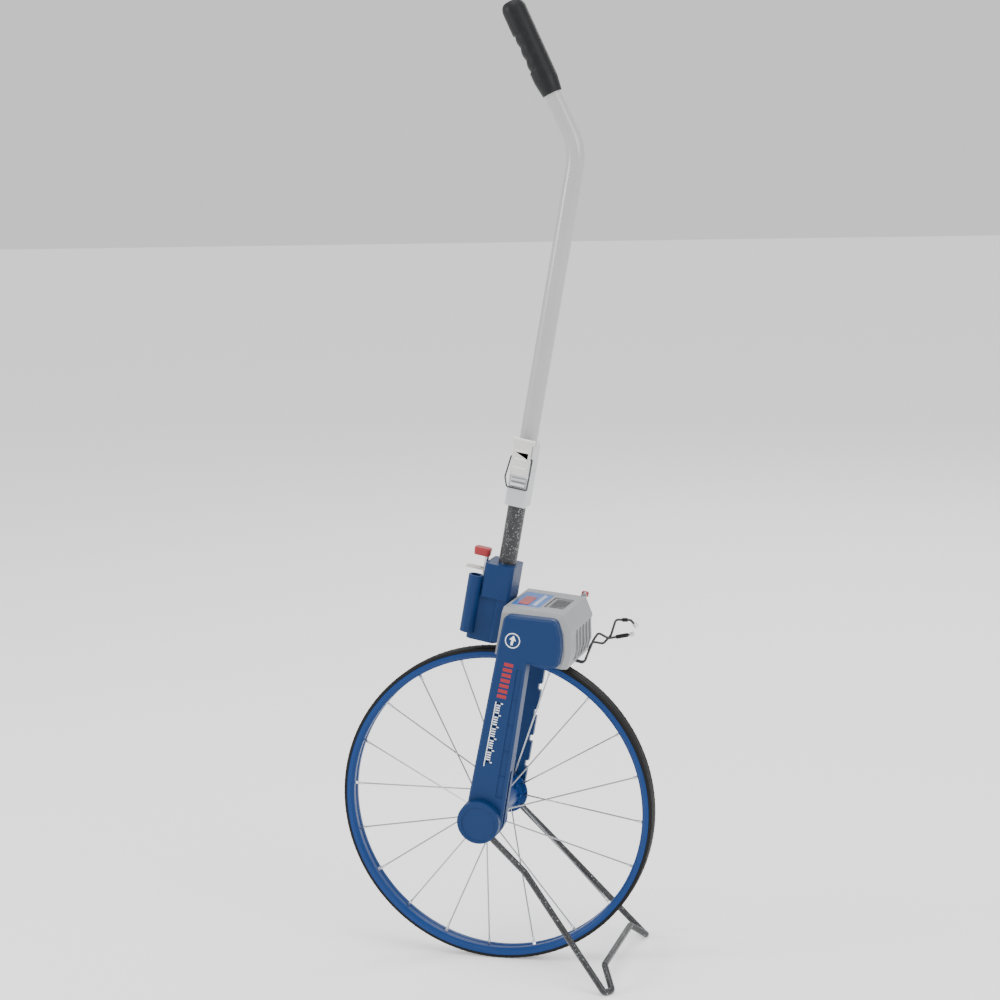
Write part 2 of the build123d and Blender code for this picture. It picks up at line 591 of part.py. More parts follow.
# ---------------------------------------------------------------- the rear socket and the brake
socket_v = (-61.0, -24.0)
shoe_room = (ROD_V - 4.6, ROD_V + 12.6)
shoe_u = sqrt(WHEEL_R**2 - ROD_V**2) + BRAKE_GAP
with BuildPart() as column_socket:
    add(bar(socket_v, (SOCKET_STEP, SOCKET_TOP), (-24, 24), 4.0))
    add(bar((-72.0, -33.0), (SOCKET_BOTTOM, SOCKET_STEP), (-20, 20), 8.0))
    add(slab((-41.0, HEAD_REAR), (214, 258), (-18, 18)))
    add(bar((-41.0, socket_v[1]), (SOCKET_BOTTOM + 3, SOCKET_STEP), (-22, 22), 4.0))
    with BuildSketch(level(HOLDER_BOTTOM, HOLDER_V, HOLDER_Y)):
        Circle(HOLDER_R)
    extrude(amount=HOLDER_TOP - HOLDER_BOTTOM)
    with BuildSketch(level(232, TUBE_V)):
        Circle(TUBE_R)
    extrude(amount=100, mode=Mode.SUBTRACT)
    with BuildSketch(level(HOLDER_BOTTOM + 4, HOLDER_V, HOLDER_Y)):
        Circle(HOLDER_BORE_R)
    extrude(amount=100, mode=Mode.SUBTRACT)
    with BuildSketch(level(SOCKET_BOTTOM - 1, ROD_V, ROD_Y)):
        Circle(ROD_R + FIT)
    extrude(amount=120, mode=Mode.SUBTRACT)
    with BuildSketch(level(238, ROD_V, ROD_Y)):
        Circle(4.6)
    extrude(amount=40, mode=Mode.SUBTRACT)
    add(slab(shoe_room, (SOCKET_BOTTOM - 1, 213), (ROD_Y - 8.6, ROD_Y + 8.6)), mode=Mode.SUBTRACT)
write(column_socket.part, "column_socket")

with BuildPart() as lower_tube:
    with BuildSketch(level(232, TUBE_V)):
        Circle(TUBE_R)
        Circle(TUBE_BORE_R, mode=Mode.SUBTRACT)
    extrude(amount=404 - 232)
write(lower_tube.part, "lower_tube")

with BuildPart() as brake_rod:
    add(rod_between(spot(ROD_V, shoe_u + 5, ROD_Y), spot(ROD_V, 306, ROD_Y), ROD_R))
    add(rod_between(spot(ROD_V, 264.5, ROD_Y), spot(ROD_V, 266.5, ROD_Y), 4.3))
write(brake_rod.part, "brake_rod")

with BuildPart() as brake_shoe:
    add(bar((shoe_room[0] + 0.6, shoe_room[1] - 0.6), (shoe_u - 10, 212), (ROD_Y - 8, ROD_Y + 8), 2.5))
    add(ring(WHEEL_R + 0.4, 0, (-20, 20), 0, BRAKE_GAP), mode=Mode.SUBTRACT)
    add(rod_between(spot(ROD_V, shoe_u + 5, ROD_Y), spot(ROD_V, 214, ROD_Y), ROD_R), mode=Mode.SUBTRACT)
write(brake_shoe.part, "brake_shoe")

with BuildPart() as brake_spring:
    with BuildSketch(level(238.3, ROD_V, ROD_Y)):
        Circle(4.3)
        Circle(3.1, mode=Mode.SUBTRACT)
    extrude(amount=26)
write(brake_spring.part, "brake_spring")

with BuildPart() as brake_knob:
    with BuildSketch(level(304.5, ROD_V - 6.4, ROD_Y)):
        RectangleRounded(19, 13, 3.5)
    extrude(amount=10, taper=-6)
    fillet(brake_knob.faces().sort_by(Axis(spot(0, 0), ALONG))[-1].edges(), 2.0)
    add(rod_between(spot(ROD_V, 303, ROD_Y), spot(ROD_V, 306, ROD_Y), ROD_R), mode=Mode.SUBTRACT)
write(brake_knob.part, "brake_knob")

# a tilting plate round the rod holds the brake on
catch_v, catch_u = -62.6, 288.0
catch_y = (-6.0, 10.0)
with BuildPart() as catch_bracket:
    add(slab((socket_v[0] - 1.2, socket_v[0]), (281.5, 291.8), catch_y))
    for y in ((catch_y[0], catch_y[0] + 1.4), (catch_y[1] - 1.4, catch_y[1])):
        add(slab((socket_v[0] - 5.0, socket_v[0]), (285.2, 292), y))
    add(ring(1.2 + FIT, 0, (catch_y[0] - 1, catch_y[1] + 1), catch_v - 1.2, catch_u), mode=Mode.SUBTRACT)
write(catch_bracket.part, "catch_bracket")

with BuildPart() as brake_catch:
    add(slab((-89.0, catch_v - 0.4), (catch_u - 1.0, catch_u + 1.0), (catch_y[0] + 2.0, catch_y[1] - 2.0)))
    add(ring(1.2, 0, (catch_y[0] - 0.2, catch_y[1] + 0.2), catch_v - 1.2, catch_u))
    with BuildSketch(level(catch_u - 3, ROD_V - 1.0, ROD_Y)):
        SlotOverall(10.5, 6.4)
    extrude(amount=6, mode=Mode.SUBTRACT)
write(brake_catch.part, "brake_catch")

# ---------------------------------------------------------------- the folding joint
joint_v = (TUBE_V - 12.8, TUBE_V + 12.8)


def knuckle(v, u, web_y):
    """A hinge lobe: a barrel on the pin line with a web beside the joint body."""
    made = rod_between(spot(v[0], JOINT_SPLIT, HINGE_Y), spot(v[1], JOINT_SPLIT, HINGE_Y), KNUCKLE_R)
    return made + slab(v, u, web_y)


pin_hole = rod_between(spot(-60, JOINT_SPLIT, HINGE_Y), spot(-18, JOINT_SPLIT, HINGE_Y), HINGE_PIN_R + FIT)
middle_lobe = (TUBE_V - 2.6, TUBE_V + 2.6)
outer_lobes = ((TUBE_V - 7.2, TUBE_V - 3.0), (TUBE_V + 3.0, TUBE_V + 7.2))

with BuildPart() as joint_lower:
    add(bar(joint_v, (JOINT_BOTTOM, JOINT_SPLIT - 0.2), (-JOINT_HALF, JOINT_HALF), 2.0))
    add(knuckle(middle_lobe, (400, JOINT_SPLIT), (JOINT_HALF - 1, HINGE_Y + KNUCKLE_R - 0.1)))
    for v in outer_lobes:
        add(rod_between(spot(v[0] - 0.5, JOINT_SPLIT, HINGE_Y), spot(v[1] + 0.5, JOINT_SPLIT, HINGE_Y),
                        KNUCKLE_R + 0.5), mode=Mode.SUBTRACT)
    add(pin_hole, mode=Mode.SUBTRACT)
    add(rod_between(spot(TUBE_V, JOINT_BOTTOM - 1), spot(TUBE_V, 404), TUBE_R), mode=Mode.SUBTRACT)
write(joint_lower.part, "joint_lower")

with BuildPart() as joint_upper:
    add(bar(joint_v, (JOINT_SPLIT + 0.2, JOINT_TOP), (-JOINT_HALF, JOINT_HALF), 2.0))
    for v in outer_lobes:
        add(knuckle(v, (JOINT_SPLIT, JOINT_TOP - 1), (JOINT_HALF - 1, HINGE_Y + KNUCKLE_R - 0.1)))
    add(rod_between(spot(middle_lobe[0] - 0.4, JOINT_SPLIT, HINGE_Y), spot(middle_lobe[1] + 0.4, JOINT_SPLIT, HINGE_Y),
                    KNUCKLE_R + 0.5), mode=Mode.SUBTRACT)
    add(pin_hole, mode=Mode.SUBTRACT)
    # the tongue that carries the latch hangs over the lower body
    tongue_v = (TUBE_V - 8.8, TUBE_V + 8.8)
    tongue = slab(tongue_v, (LATCH_U, LATCH_U + 11), (LATCH_Y - 2.2, -JOINT_HALF - 0.3))
    tongue += rod_between(spot(tongue_v[0], LATCH_U, LATCH_Y), spot(tongue_v[1], LATCH_U, LATCH_Y), 2.3)
    tongue += slab(tongue_v, (JOINT_SPLIT + 0.2, LATCH_U + 11), (-JOINT_HALF - 0.3, -JOINT_HALF + 1))
    add(tongue)
    add(rod_between(spot(-60, LATCH_U, LATCH_Y), spot(-18, LATCH_U, LATCH_Y), LATCH_PIN_R), mode=Mode.SUBTRACT)
    add(rod_between(spot(TUBE_V, 430), spot(TUBE_V, JOINT_TOP + 1), TUBE_R), mode=Mode.SUBTRACT)
write(joint_upper.part, "joint_upper")

with BuildPart() as hinge_pin:
    add(rod_between(spot(TUBE_V - 7.4, JOINT_SPLIT, HINGE_Y), spot(TUBE_V + 7.4, JOINT_SPLIT, HINGE_Y),
                    HINGE_PIN_R))
    for v in ((TUBE_V - 8.2, TUBE_V - 7.3), (TUBE_V + 7.3, TUBE_V + 8.2)):
        add(rod_between(spot(v[0], JOINT_SPLIT, HINGE_Y), spot(v[1], JOINT_SPLIT, HINGE_Y), HINGE_PIN_R + 1.2))
write(hinge_pin.part, "hinge_pin")

with BuildPart() as latch_pin:
    add(rod_between(spot(TUBE_V - 11.6, LATCH_U, LATCH_Y), spot(TUBE_V + 11.6, LATCH_U, LATCH_Y), LATCH_PIN_R))
write(latch_pin.part, "latch_pin")

with BuildPart() as latch_catch:
    with BuildSketch(facing(TUBE_V - 9)):
        with BuildLine():
            Polyline((-15, 398.5), (-16.3, 398.5), (-16.6, 400.6), (-18.0, 400.6), (-19.9, 404.6), (-19.9, 405.8),
                     (-16.5, 407.6), (-16.5, 411.0), (-15, 411.0), close=True)
        make_face()
    extrude(amount=18)
write(latch_catch.part, "latch_catch")

lever_v = (TUBE_V - 11.2, TUBE_V + 11.2)
cheeks = ((lever_v[0], lever_v[0] + 1.4), (lever_v[1] - 1.4, lever_v[1]))
with BuildPart() as latch_lever:
    add(slab(lever_v, (LATCH_U + 0.6, 458.5), (LATCH_Y - 4.1, LATCH_Y - 2.7)))
    for v in cheeks:
        add(slab(v, (LATCH_U, BAIL_U), (LATCH_Y - 3.4, LATCH_Y + 1.6)))
        add(rod_between(spot(v[0], LATCH_U, LATCH_Y), spot(v[1], LATCH_U, LATCH_Y), 2.9))
        add(rod_between(spot(v[0], BAIL_U, LATCH_Y), spot(v[1], BAIL_U, LATCH_Y), 2.6))
    for u in (424.5, 435.0, 445.5):
        add(rod_between(spot(lever_v[0] + 3, u, LATCH_Y - 3.6), spot(lever_v[1] - 3, u, LATCH_Y - 3.6), 1.7)
            & slab((-70, -10), (400, 470), (LATCH_Y - 8, LATCH_Y - 2.8)))
    add(rod_between(spot(TUBE_V - 13.4, 459.5, LATCH_Y - 4.4), spot(TUBE_V + 14.4, 459.5, LATCH_Y - 4.4), 1.8))
    add(slab((TUBE_V - 13.4, TUBE_V + 14.4), (455, 459.5), (LATCH_Y - 4.6, LATCH_Y - 2.8)))
    add(rod_between(spot(-60, LATCH_U, LATCH_Y), spot(-18, LATCH_U, LATCH_Y), LATCH_PIN_R + FIT), mode=Mode.SUBTRACT)
    add(rod_between(spot(-60, BAIL_U, LATCH_Y), spot(-18, BAIL_U, LATCH_Y), BAIL_WIRE_R + FIT), mode=Mode.SUBTRACT)
write(latch_lever.part, "latch_lever")

bail_v = TUBE_V - 13.2, TUBE_V + 13.2
bail_points = [
    spot(cheeks[0][0] - 0.2, BAIL_U, LATCH_Y), spot(bail_v[0], BAIL_U, LATCH_Y),
    spot(bail_v[0] - 1.5, 412, LATCH_Y - 8), spot(bail_v[0] + 0.6, BAIL_BAR_U, -19.0),
    spot(bail_v[1] - 0.6, BAIL_BAR_U, -19.0), spot(bail_v[1] + 1.5, 412, LATCH_Y - 8),
    spot(bail_v[1], BAIL_U, LATCH_Y), spot(cheeks[1][1] + 0.2, BAIL_U, LATCH_Y),
]
with BuildPart() as latch_bail:
    add(bent_wire(bail_points, [1.5, 4, 2.2, 2.2, 4, 1.5], BAIL_WIRE_R))
    add(rod_between(spot(cheeks[0][0] - 0.4, BAIL_U, LATCH_Y), spot(cheeks[0][1], BAIL_U, LATCH_Y), BAIL_WIRE_R))
    add(rod_between(spot(cheeks[1][0], BAIL_U, LATCH_Y), spot(cheeks[1][1] + 0.4, BAIL_U, LATCH_Y), BAIL_WIRE_R))
write(latch_bail.part, "latch_bail")

# ---------------------------------------------------------------- the handle
grip_way = ALONG * cos(GRIP_TURN) - ACROSS * sin(GRIP_TURN)
bend_point = spot(TUBE_V, BEND_U)


def handle_tube(radius):
    """A bar along the bent handle."""
    return bent_wire(
        [spot(TUBE_V, 430), bend_point, bend_point + grip_way * (GRIP_START + 62)], [BEND_R], radius
    )


with BuildPart() as upper_tube:
    add(handle_tube(TUBE_R))
    add(handle_tube(TUBE_BORE_R), mode=Mode.SUBTRACT)
write(upper_tube.part, "upper_tube")

grip_base = Plane(origin=bend_point + grip_way * GRIP_START, x_dir=(0, 1, 0), z_dir=grip_way)
with BuildPart() as grip:
    with BuildSketch(grip_base):
        Ellipse(GRIP_R - 0.8, GRIP_R)
    extrude(amount=GRIP_LENGTH)
    fillet(grip.faces().sort_by(Axis(bend_point, grip_way))[-1].edges(), 6)
    fillet(grip.faces().sort_by(Axis(bend_point, grip_way))[0].edges(), 2)
    with BuildSketch(grip_base):
        Circle(TUBE_R)
    extrude(amount=62, mode=Mode.SUBTRACT)
write(grip.part, "grip")

# ---------------------------------------------------------------- the stand
top_run = Vector(STAND_BEND[0], 0, STAND_BEND[1] - WHEEL_R)
eye_r = AXLE_R + FIT + STAND_WIRE_R  # the wire's own middle line, round the axle
run_way = top_run.normalized()
run_turn = asin(eye_r / top_run.length)


def stand_points(y_sign):
    """The wire of one side of the stand, from the axle's eye to the end of the crossbar."""
    away = Vector(run_way.Z, 0, -run_way.X)
    tangent = (away * cos(run_turn) + run_way * sin(run_turn)) * eye_r
    return [
        Vector(0, STAND_Y * y_sign, WHEEL_R) + tangent,
        Vector(STAND_BEND[0], STAND_Y * y_sign, STAND_BEND[1]),
        Vector(FOOT_X - 1, (FOOT_Y + 0.5) * y_sign, STAND_WIRE_R),
        Vector(FOOT_X + 6, (FOOT_Y - 10) * y_sign, STAND_WIRE_R),
        Vector(CROSSBAR[0], CROSSBAR[2] * y_sign, CROSSBAR[1]),
    ]


near_side, far_side = stand_points(-1), stand_points(1)
with BuildPart() as stand:
    add(bent_wire(near_side + far_side[::-1], [14, 4.6, 4.6, 8, 8, 4.6, 4.6, 14], STAND_WIRE_R))
    for y in (-STAND_Y, STAND_Y):
        add(ring(eye_r + STAND_WIRE_R + 0.3, 0, (y - STAND_WIRE_R - 0.3, y + STAND_WIRE_R + 0.3)))
        add(ring(AXLE_R + FIT, 0, (y - 10, y + 10)), mode=Mode.SUBTRACT)
write(stand.part, "stand")

# ---------------------------------------------------------------- the wire clip at the front
clip_y = 2.2
lower_wire = [(56, 202.2), (77.0, 201.2), (83.5, 232), (88, 242.6), (101.5, 238.8), (129.0, 250.5)]
upper_wire = [(56, 202.2), (77.0, 201.2), (81.5, 229), (95.5, 229.5), (103.0, 242), (105.5, 262.5), (123.6, 266.2),
              (130.5, 261.0)]
with BuildPart() as wire_clip:
    add(bent_wire([spot(v, u, -clip_y) for v, u in lower_wire], [5, 6, 3.6, 5], CLIP_WIRE_R))
    add(bent_wire([spot(v, u, clip_y) for v, u in upper_wire], [5, 5, 5, 5, 4.5, 3], CLIP_WIRE_R))
write(wire_clip.part, "wire_clip")

with BuildPart() as clip_sleeves:
    lower_way = (spot(129.0, 250.5, -clip_y) - spot(101.5, 238.8, -clip_y)).normalized()
    lower_end = spot(129.0, 250.5, -clip_y)
    add(rod_between(lower_end - lower_way * 20, lower_end - lower_way * 5, CLIP_WIRE_R + 1.1)
        - rod_between(lower_end - lower_way * 21, lower_end - lower_way * 4, CLIP_WIRE_R))
    upper_way = (spot(123.6, 266.2, clip_y) - spot(105.5, 262.5, clip_y)).normalized()
    upper_mid = spot(105.5, 262.5, clip_y)
    add(rod_between(upper_mid + upper_way * 8, upper_mid + upper_way * 14.5, CLIP_WIRE_R + 1.0)
        - rod_between(upper_mid + upper_way * 7, upper_mid + upper_way * 16, CLIP_WIRE_R))
write(clip_sleeves.part, "clip_sleeves")

with BuildPart() as clip_tips:
    upper_end = spot(130.5, 261.0, clip_y)
    upper_out = (spot(130.5, 261.0) - spot(123.6, 266.2)).normalized()
    for end, way in ((lower_end, lower_way), (upper_end, upper_out)):
        cap = rod_between(end - way * 2.5, end + way * 2.5, CLIP_WIRE_R + 1.3)
        add(cap - rod_between(end - way * 3.5, end, CLIP_WIRE_R))
write(clip_tips.part, "clip_tips")

with BuildPart() as clip_bracket:
    add(slab((48, 60), (199.8, HEAD_BOTTOM), (-7, 7)))
    add(wire_clip.part, mode=Mode.SUBTRACT)
write(clip_bracket.part, "clip_bracket")
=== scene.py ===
"""The finished look of a folding measuring wheel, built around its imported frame.

A spoked wheel runs in a leaning fork whose left leg hides a belt drive. The drive turns the digit drums of a
counter between the legs' heads. Behind it a socket carries the brake and the mast, whose latched joint folds,
and a bent tube ends in a grip with finger hollows. A wire stand swings about the axle, and a wire clip in
front of the counter holds it when it is folded away.

Lengths inside the classes are millimetres, in the leaning frame of the mast: v forward, u along it, y along
the axle. They become the row's metres in one place, Mast.spot.
"""

from __future__ import annotations

import json
import logging
import math
from collections.abc import Callable, Iterable, Sequence
from dataclasses import dataclass, field
from enum import Enum
from typing import Any

import bmesh
import bpy
from mathutils import Matrix, Vector

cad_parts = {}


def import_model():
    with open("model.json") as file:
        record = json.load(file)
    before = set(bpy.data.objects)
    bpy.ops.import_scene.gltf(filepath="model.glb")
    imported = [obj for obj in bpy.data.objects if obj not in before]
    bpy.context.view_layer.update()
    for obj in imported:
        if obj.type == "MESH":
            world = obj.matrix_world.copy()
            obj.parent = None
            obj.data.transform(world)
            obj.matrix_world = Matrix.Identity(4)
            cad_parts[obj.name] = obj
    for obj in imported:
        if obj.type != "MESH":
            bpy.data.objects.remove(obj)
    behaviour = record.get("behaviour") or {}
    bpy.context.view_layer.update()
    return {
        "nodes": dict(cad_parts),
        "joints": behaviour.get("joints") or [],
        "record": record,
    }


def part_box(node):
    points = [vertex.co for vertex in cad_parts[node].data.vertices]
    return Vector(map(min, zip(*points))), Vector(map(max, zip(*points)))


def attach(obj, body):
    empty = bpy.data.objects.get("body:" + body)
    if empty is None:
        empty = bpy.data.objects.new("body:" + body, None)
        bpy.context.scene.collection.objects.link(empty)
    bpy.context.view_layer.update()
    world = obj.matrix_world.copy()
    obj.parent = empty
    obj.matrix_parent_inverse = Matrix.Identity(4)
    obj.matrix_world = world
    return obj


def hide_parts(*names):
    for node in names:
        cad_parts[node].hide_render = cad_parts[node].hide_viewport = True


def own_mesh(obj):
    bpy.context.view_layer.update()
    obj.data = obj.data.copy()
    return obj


log = logging.getLogger("measuring_wheel")
MM = 0.001
Colour = tuple[float, float, float]
Point = tuple[float, float]


# ---------------------------------------------------------------- nodes, for shaders and for geometry
def add_node(tree: bpy.types.NodeTree, kind: str, settings: dict[str, Any] | None = None,
             inputs: dict[str | int, Any] | None = None) -> bpy.types.Node:
    """Add a node to a tree.

    Args:
        tree: The shader or geometry tree.
        kind: The node's type.
        settings: Its properties, set first; "stops" fills a colour ramp with (place, grey) pairs.
        inputs: A value, a socket or a Value for each of its input sockets, by name or by number.

    Returns:
        The new node.
    """
    node = tree.nodes.new(kind)
    for name, value in (settings or {}).items():
        if name == "stops":
            ramp = node.color_ramp
            while len(ramp.elements) < len(value):
                ramp.elements.new(0.5)
            for element, (place, grey) in zip(ramp.elements, value):
                element.position = place
                element.color = (grey, grey, grey, 1.0)
        else:
            setattr(node, name, value)
    for key, value in (inputs or {}).items():
        socket = node.inputs[key]
        if isinstance(value, Value):
            tree.links.new(value.socket, socket)
        elif isinstance(value, bpy.types.NodeSocket):
            tree.links.new(value, socket)
        else:
            socket.default_value = value
    return node


class Value:
    """A number socket that Python's operators work on, adding Math nodes to its tree."""

    def __init__(self, tree: bpy.types.NodeTree, socket: bpy.types.NodeSocket) -> None:
        """Wrap a socket of a tree."""
        self.tree = tree
        self.socket = socket

    def math(self, operation: str, *operands: Any) -> Value:
        """The result of a Math node on some operands."""
        node = add_node(self.tree, "ShaderNodeMath", {"operation": operation}, dict(enumerate(operands)))
        return Value(self.tree, node.outputs[0])

    def __add__(self, other: Any) -> Value:
        """This plus other."""
        return self.math("ADD", self, other)

    __radd__ = __add__

    def __mul__(self, other: Any) -> Value:
        """This times other."""
        return self.math("MULTIPLY", self, other)

    __rmul__ = __mul__

    def __sub__(self, other: Any) -> Value:
        """This less other."""
        return self.math("SUBTRACT", self, other)

    def __rsub__(self, other: Any) -> Value:
        """The other less this."""
        return self.math("SUBTRACT", other, self)

    def clamped(self) -> Value:
        """This kept between 0 and 1."""
        return self.math("MINIMUM", self.math("MAXIMUM", self, 0.0), 1.0)


class Paint:
    """A material being built around one Principled shader."""

    def __init__(self, name: str, **constants: Any) -> None:
        """Start a material.

        Args:
            name: The material's name.
            **constants: Values set on the shader's own sockets, named in lower case with underscores.
        """
        self.material = bpy.data.materials.new(name)
        self.material.use_nodes = True
        self.tree = self.material.node_tree
        self.tree.nodes.clear()
        self.shader = self.add("ShaderNodeBsdfPrincipled")
        self.add("ShaderNodeOutputMaterial", inputs={"Surface": self.shader.outputs[0]})
        for key, value in constants.items():
            self.shader.inputs[key.replace("_", " ").title().replace("Ior", "IOR")].default_value = value
        self.coordinates = self.add("ShaderNodeTexCoord").outputs["Object"]

    def add(self, kind: str, settings: dict[str, Any] | None = None,
            inputs: dict[str | int, Any] | None = None) -> bpy.types.Node:
        """Add any node to this material's tree, as add_node does."""
        return add_node(self.tree, kind, settings, inputs)

    def stretched(self, scale: tuple[float, float, float], turn: tuple[float, float, float] = (0, 0, 0)) -> Any:
        """Object coordinates turned, then scaled along each axis.

        Args:
            scale: The factor along X, Y and Z.
            turn: The rotation before it, in radians.

        Returns:
            The vector socket.
        """
        return self.add("ShaderNodeMapping", {"vector_type": "TEXTURE"},
                        {"Vector": self.coordinates, "Rotation": turn,
                         "Scale": tuple(1 / s for s in scale)}).outputs[0]

    def noise(self, size: float, detail: float = 2.0, vector: Any = None) -> Value:
        """Soft noise from 0 to 1 whose blobs are about size millimetres across."""
        node = self.add("ShaderNodeTexNoise", {}, {"Vector": vector or self.coordinates,
                                                   "Scale": 1 / (size * MM), "Detail": detail})
        return Value(self.tree, node.outputs["Fac"])

    def cells(self, size: float, feature: str = "F1", vector: Any = None) -> Value:
        """The distance field of random cells about size millimetres across."""
        node = self.add("ShaderNodeTexVoronoi", {"feature": feature},
                        {"Vector": vector or self.coordinates, "Scale": 1 / (size * MM)})
        return Value(self.tree, node.outputs["Distance"])

    def step(self, value: Value, low: float, high: float) -> Value:
        """A mask that rises from 0 at low to 1 at high."""
        node = self.add("ShaderNodeMapRange", {"interpolation_type": "SMOOTHSTEP"},
                        {"Value": value, "From Min": low, "From Max": high})
        return Value(self.tree, node.outputs[0])

    def mix(self, mask: Value, first: Any, second: Any) -> Any:
        """A colour that goes from first to second as the mask rises."""
        rgba = [(*c, 1.0) if isinstance(c, tuple) else c for c in (first, second)]
        node = self.add("ShaderNodeMix", {"data_type": "RGBA"}, {0: mask, 6: rgba[0], 7: rgba[1]})
        return node.outputs[2]

    def put(self, socket: str, value: Any) -> None:
        """Link a Value or a socket to one of the shader's inputs."""
        self.tree.links.new(value.socket if isinstance(value, Value) else value, self.shader.inputs[socket])

    def emboss(self, height: Value, depth: float, strength: float = 1.0) -> None:
        """Raise the surface by a height field whose full step is depth millimetres."""
        bump = self.add("ShaderNodeBump", {}, {"Height": height, "Distance": depth * MM, "Strength": strength})
        self.put("Normal", bump.outputs[0])


# ---------------------------------------------------------------- finishes
@dataclass(frozen=True)
class Moulded:
    """Injection-moulded plastic with a fine spark-eroded grain and faint flow marks."""

    tone: Colour
    shade: Colour
    roughness: float = 0.42
    grain: float = 0.55
    depth: float = 0.02
    scuffs: float = 0.35

    def make(self, name: str) -> bpy.types.Material:
        """The finish as a material of that name."""
        paint = Paint(name, specular_ior_level=0.18)
        flow = paint.noise(38, 3)
        speck = paint.noise(2.4, 4)
        rubbed = paint.step(paint.noise(11, 6), 0.60, 0.74) * self.scuffs
        paint.put("Base Color", paint.mix((flow * 0.75 + speck * 0.25).clamped(), self.shade, self.tone))
        paint.put("Roughness", flow * 0.10 + rubbed * 0.22 + (self.roughness - 0.05))
        paint.emboss(paint.noise(self.grain, 3) + rubbed * 0.15, self.depth)
        return paint.material


@dataclass(frozen=True)
class Hammertone:
    """Black enamel that dried into small dimples, with silvery flecks on their rims."""

    base: Colour = (0.011, 0.012, 0.014)
    fleck: Colour = (0.34, 0.355, 0.37)
    dimple: float = 2.2
    cover: float = 0.5

    def make(self, name: str) -> bpy.types.Material:
        """The finish as a material of that name."""
        paint = Paint(name, specular_ior_level=0.45)
        cells = paint.cells(self.dimple, "SMOOTH_F1")
        torn = paint.noise(self.dimple * 0.55, 5)
        fleck = paint.step(cells * 0.45 + torn * 0.9, 0.91 - self.cover * 0.3, 0.99 - self.cover * 0.3)
        paint.put("Base Color", paint.mix(fleck, self.base, self.fleck))
        paint.put("Metallic", fleck * 0.75)
        paint.put("Roughness", 0.42 - fleck * 0.14)
        paint.put("Coat Weight", fleck * 0.2 + 0.25)
        paint.emboss(cells + torn * 0.3, 0.4)
        return paint.material


@dataclass(frozen=True)
class Enamel:
    """Stoved enamel on a drawn tube, with a faint orange peel."""

    tone: Colour
    shade: Colour
    roughness: float = 0.30

    def make(self, name: str) -> bpy.types.Material:
        """The finish as a material of that name."""
        paint = Paint(name, coat_roughness=0.12)
        drift = paint.noise(70, 2)
        chips = paint.step(paint.noise(5, 7), 0.70, 0.73)
        paint.put("Base Color", paint.mix((drift - chips * 0.5).clamped(), self.shade, self.tone))
        paint.put("Roughness", drift * 0.08 + chips * 0.25 + (self.roughness - 0.04))
        paint.put("Coat Weight", 0.35 - chips * 0.3)
        paint.emboss(paint.noise(1.6, 2), 0.018)
        return paint.material


@dataclass(frozen=True)
class Metal:
    """Bare or plated metal with fine marks drawn along one direction."""

    tone: Colour
    dull: Colour
    roughness: float = 0.32
    draw: tuple[float, float, float] = (1.0, 1.0, 0.06)
    marks: float = 0.5
    metallic: float = 1.0

    def make(self, name: str) -> bpy.types.Material:
        """The finish as a material of that name."""
        paint = Paint(name, metallic=self.metallic)
        lines = paint.noise(self.marks, 3, paint.stretched(self.draw))
        stain = paint.noise(9, 5)
        paint.put("Base Color", paint.mix((lines * 0.5 + stain * 0.5).clamped(), self.dull, self.tone))
        paint.put("Roughness", lines * 0.14 + stain * 0.10 + (self.roughness - 0.12))
        paint.emboss(lines, 0.012)
        return paint.material


@dataclass(frozen=True)
class Rubber:
    """Black rubber or soft grip, a little dusty, with a pebbled skin."""

    tone: Colour
    dust: Colour
    pebble: float = 0.9
    depth: float = 0.06
    roughness: float = 0.66

    def make(self, name: str) -> bpy.types.Material:
        """The finish as a material of that name."""
        paint = Paint(name, specular_ior_level=0.2)
        worn = paint.step(paint.noise(14, 6), 0.45, 0.75)
        skin = paint.cells(self.pebble)
        paint.put("Base Color", paint.mix(worn * 0.6, self.tone, self.dust))
        paint.put("Roughness", worn * 0.14 + (self.roughness - 0.06))
        paint.emboss(skin + worn * 0.4, self.depth)
        return paint.material


@dataclass(frozen=True)
class Ink:
    """Pad-printed ink, with pinholes where it missed the grain."""

    tone: Colour
    under: Colour = (0.10, 0.18, 0.36)

    def make(self, name: str) -> bpy.types.Material:
        """The finish as a material of that name."""
        paint = Paint(name, specular_ior_level=0.4)
        holes = paint.step(paint.noise(0.8, 4), 0.68, 0.74)
        paint.put("Base Color", paint.mix(holes * 0.12, self.tone, self.under))
        paint.put("Roughness", paint.noise(3, 2) * 0.1 + 0.4)
        return paint.material


@dataclass(frozen=True)
class Clear:
    """A clear moulded window with a trace of haze."""

    tint: Colour = (0.86, 0.90, 0.93)

    def make(self, name: str) -> bpy.types.Material:
        """The finish as a material of that name."""
        paint = Paint(name, specular_ior_level=0.6)
        haze = paint.noise(6, 4)
        paint.put("Base Color", paint.mix(haze, self.tint, (0.78, 0.82, 0.86)))
        paint.put("Alpha", haze * 0.06 + 0.05)
        paint.put("Roughness", haze * 0.08 + 0.04)
        return paint.material


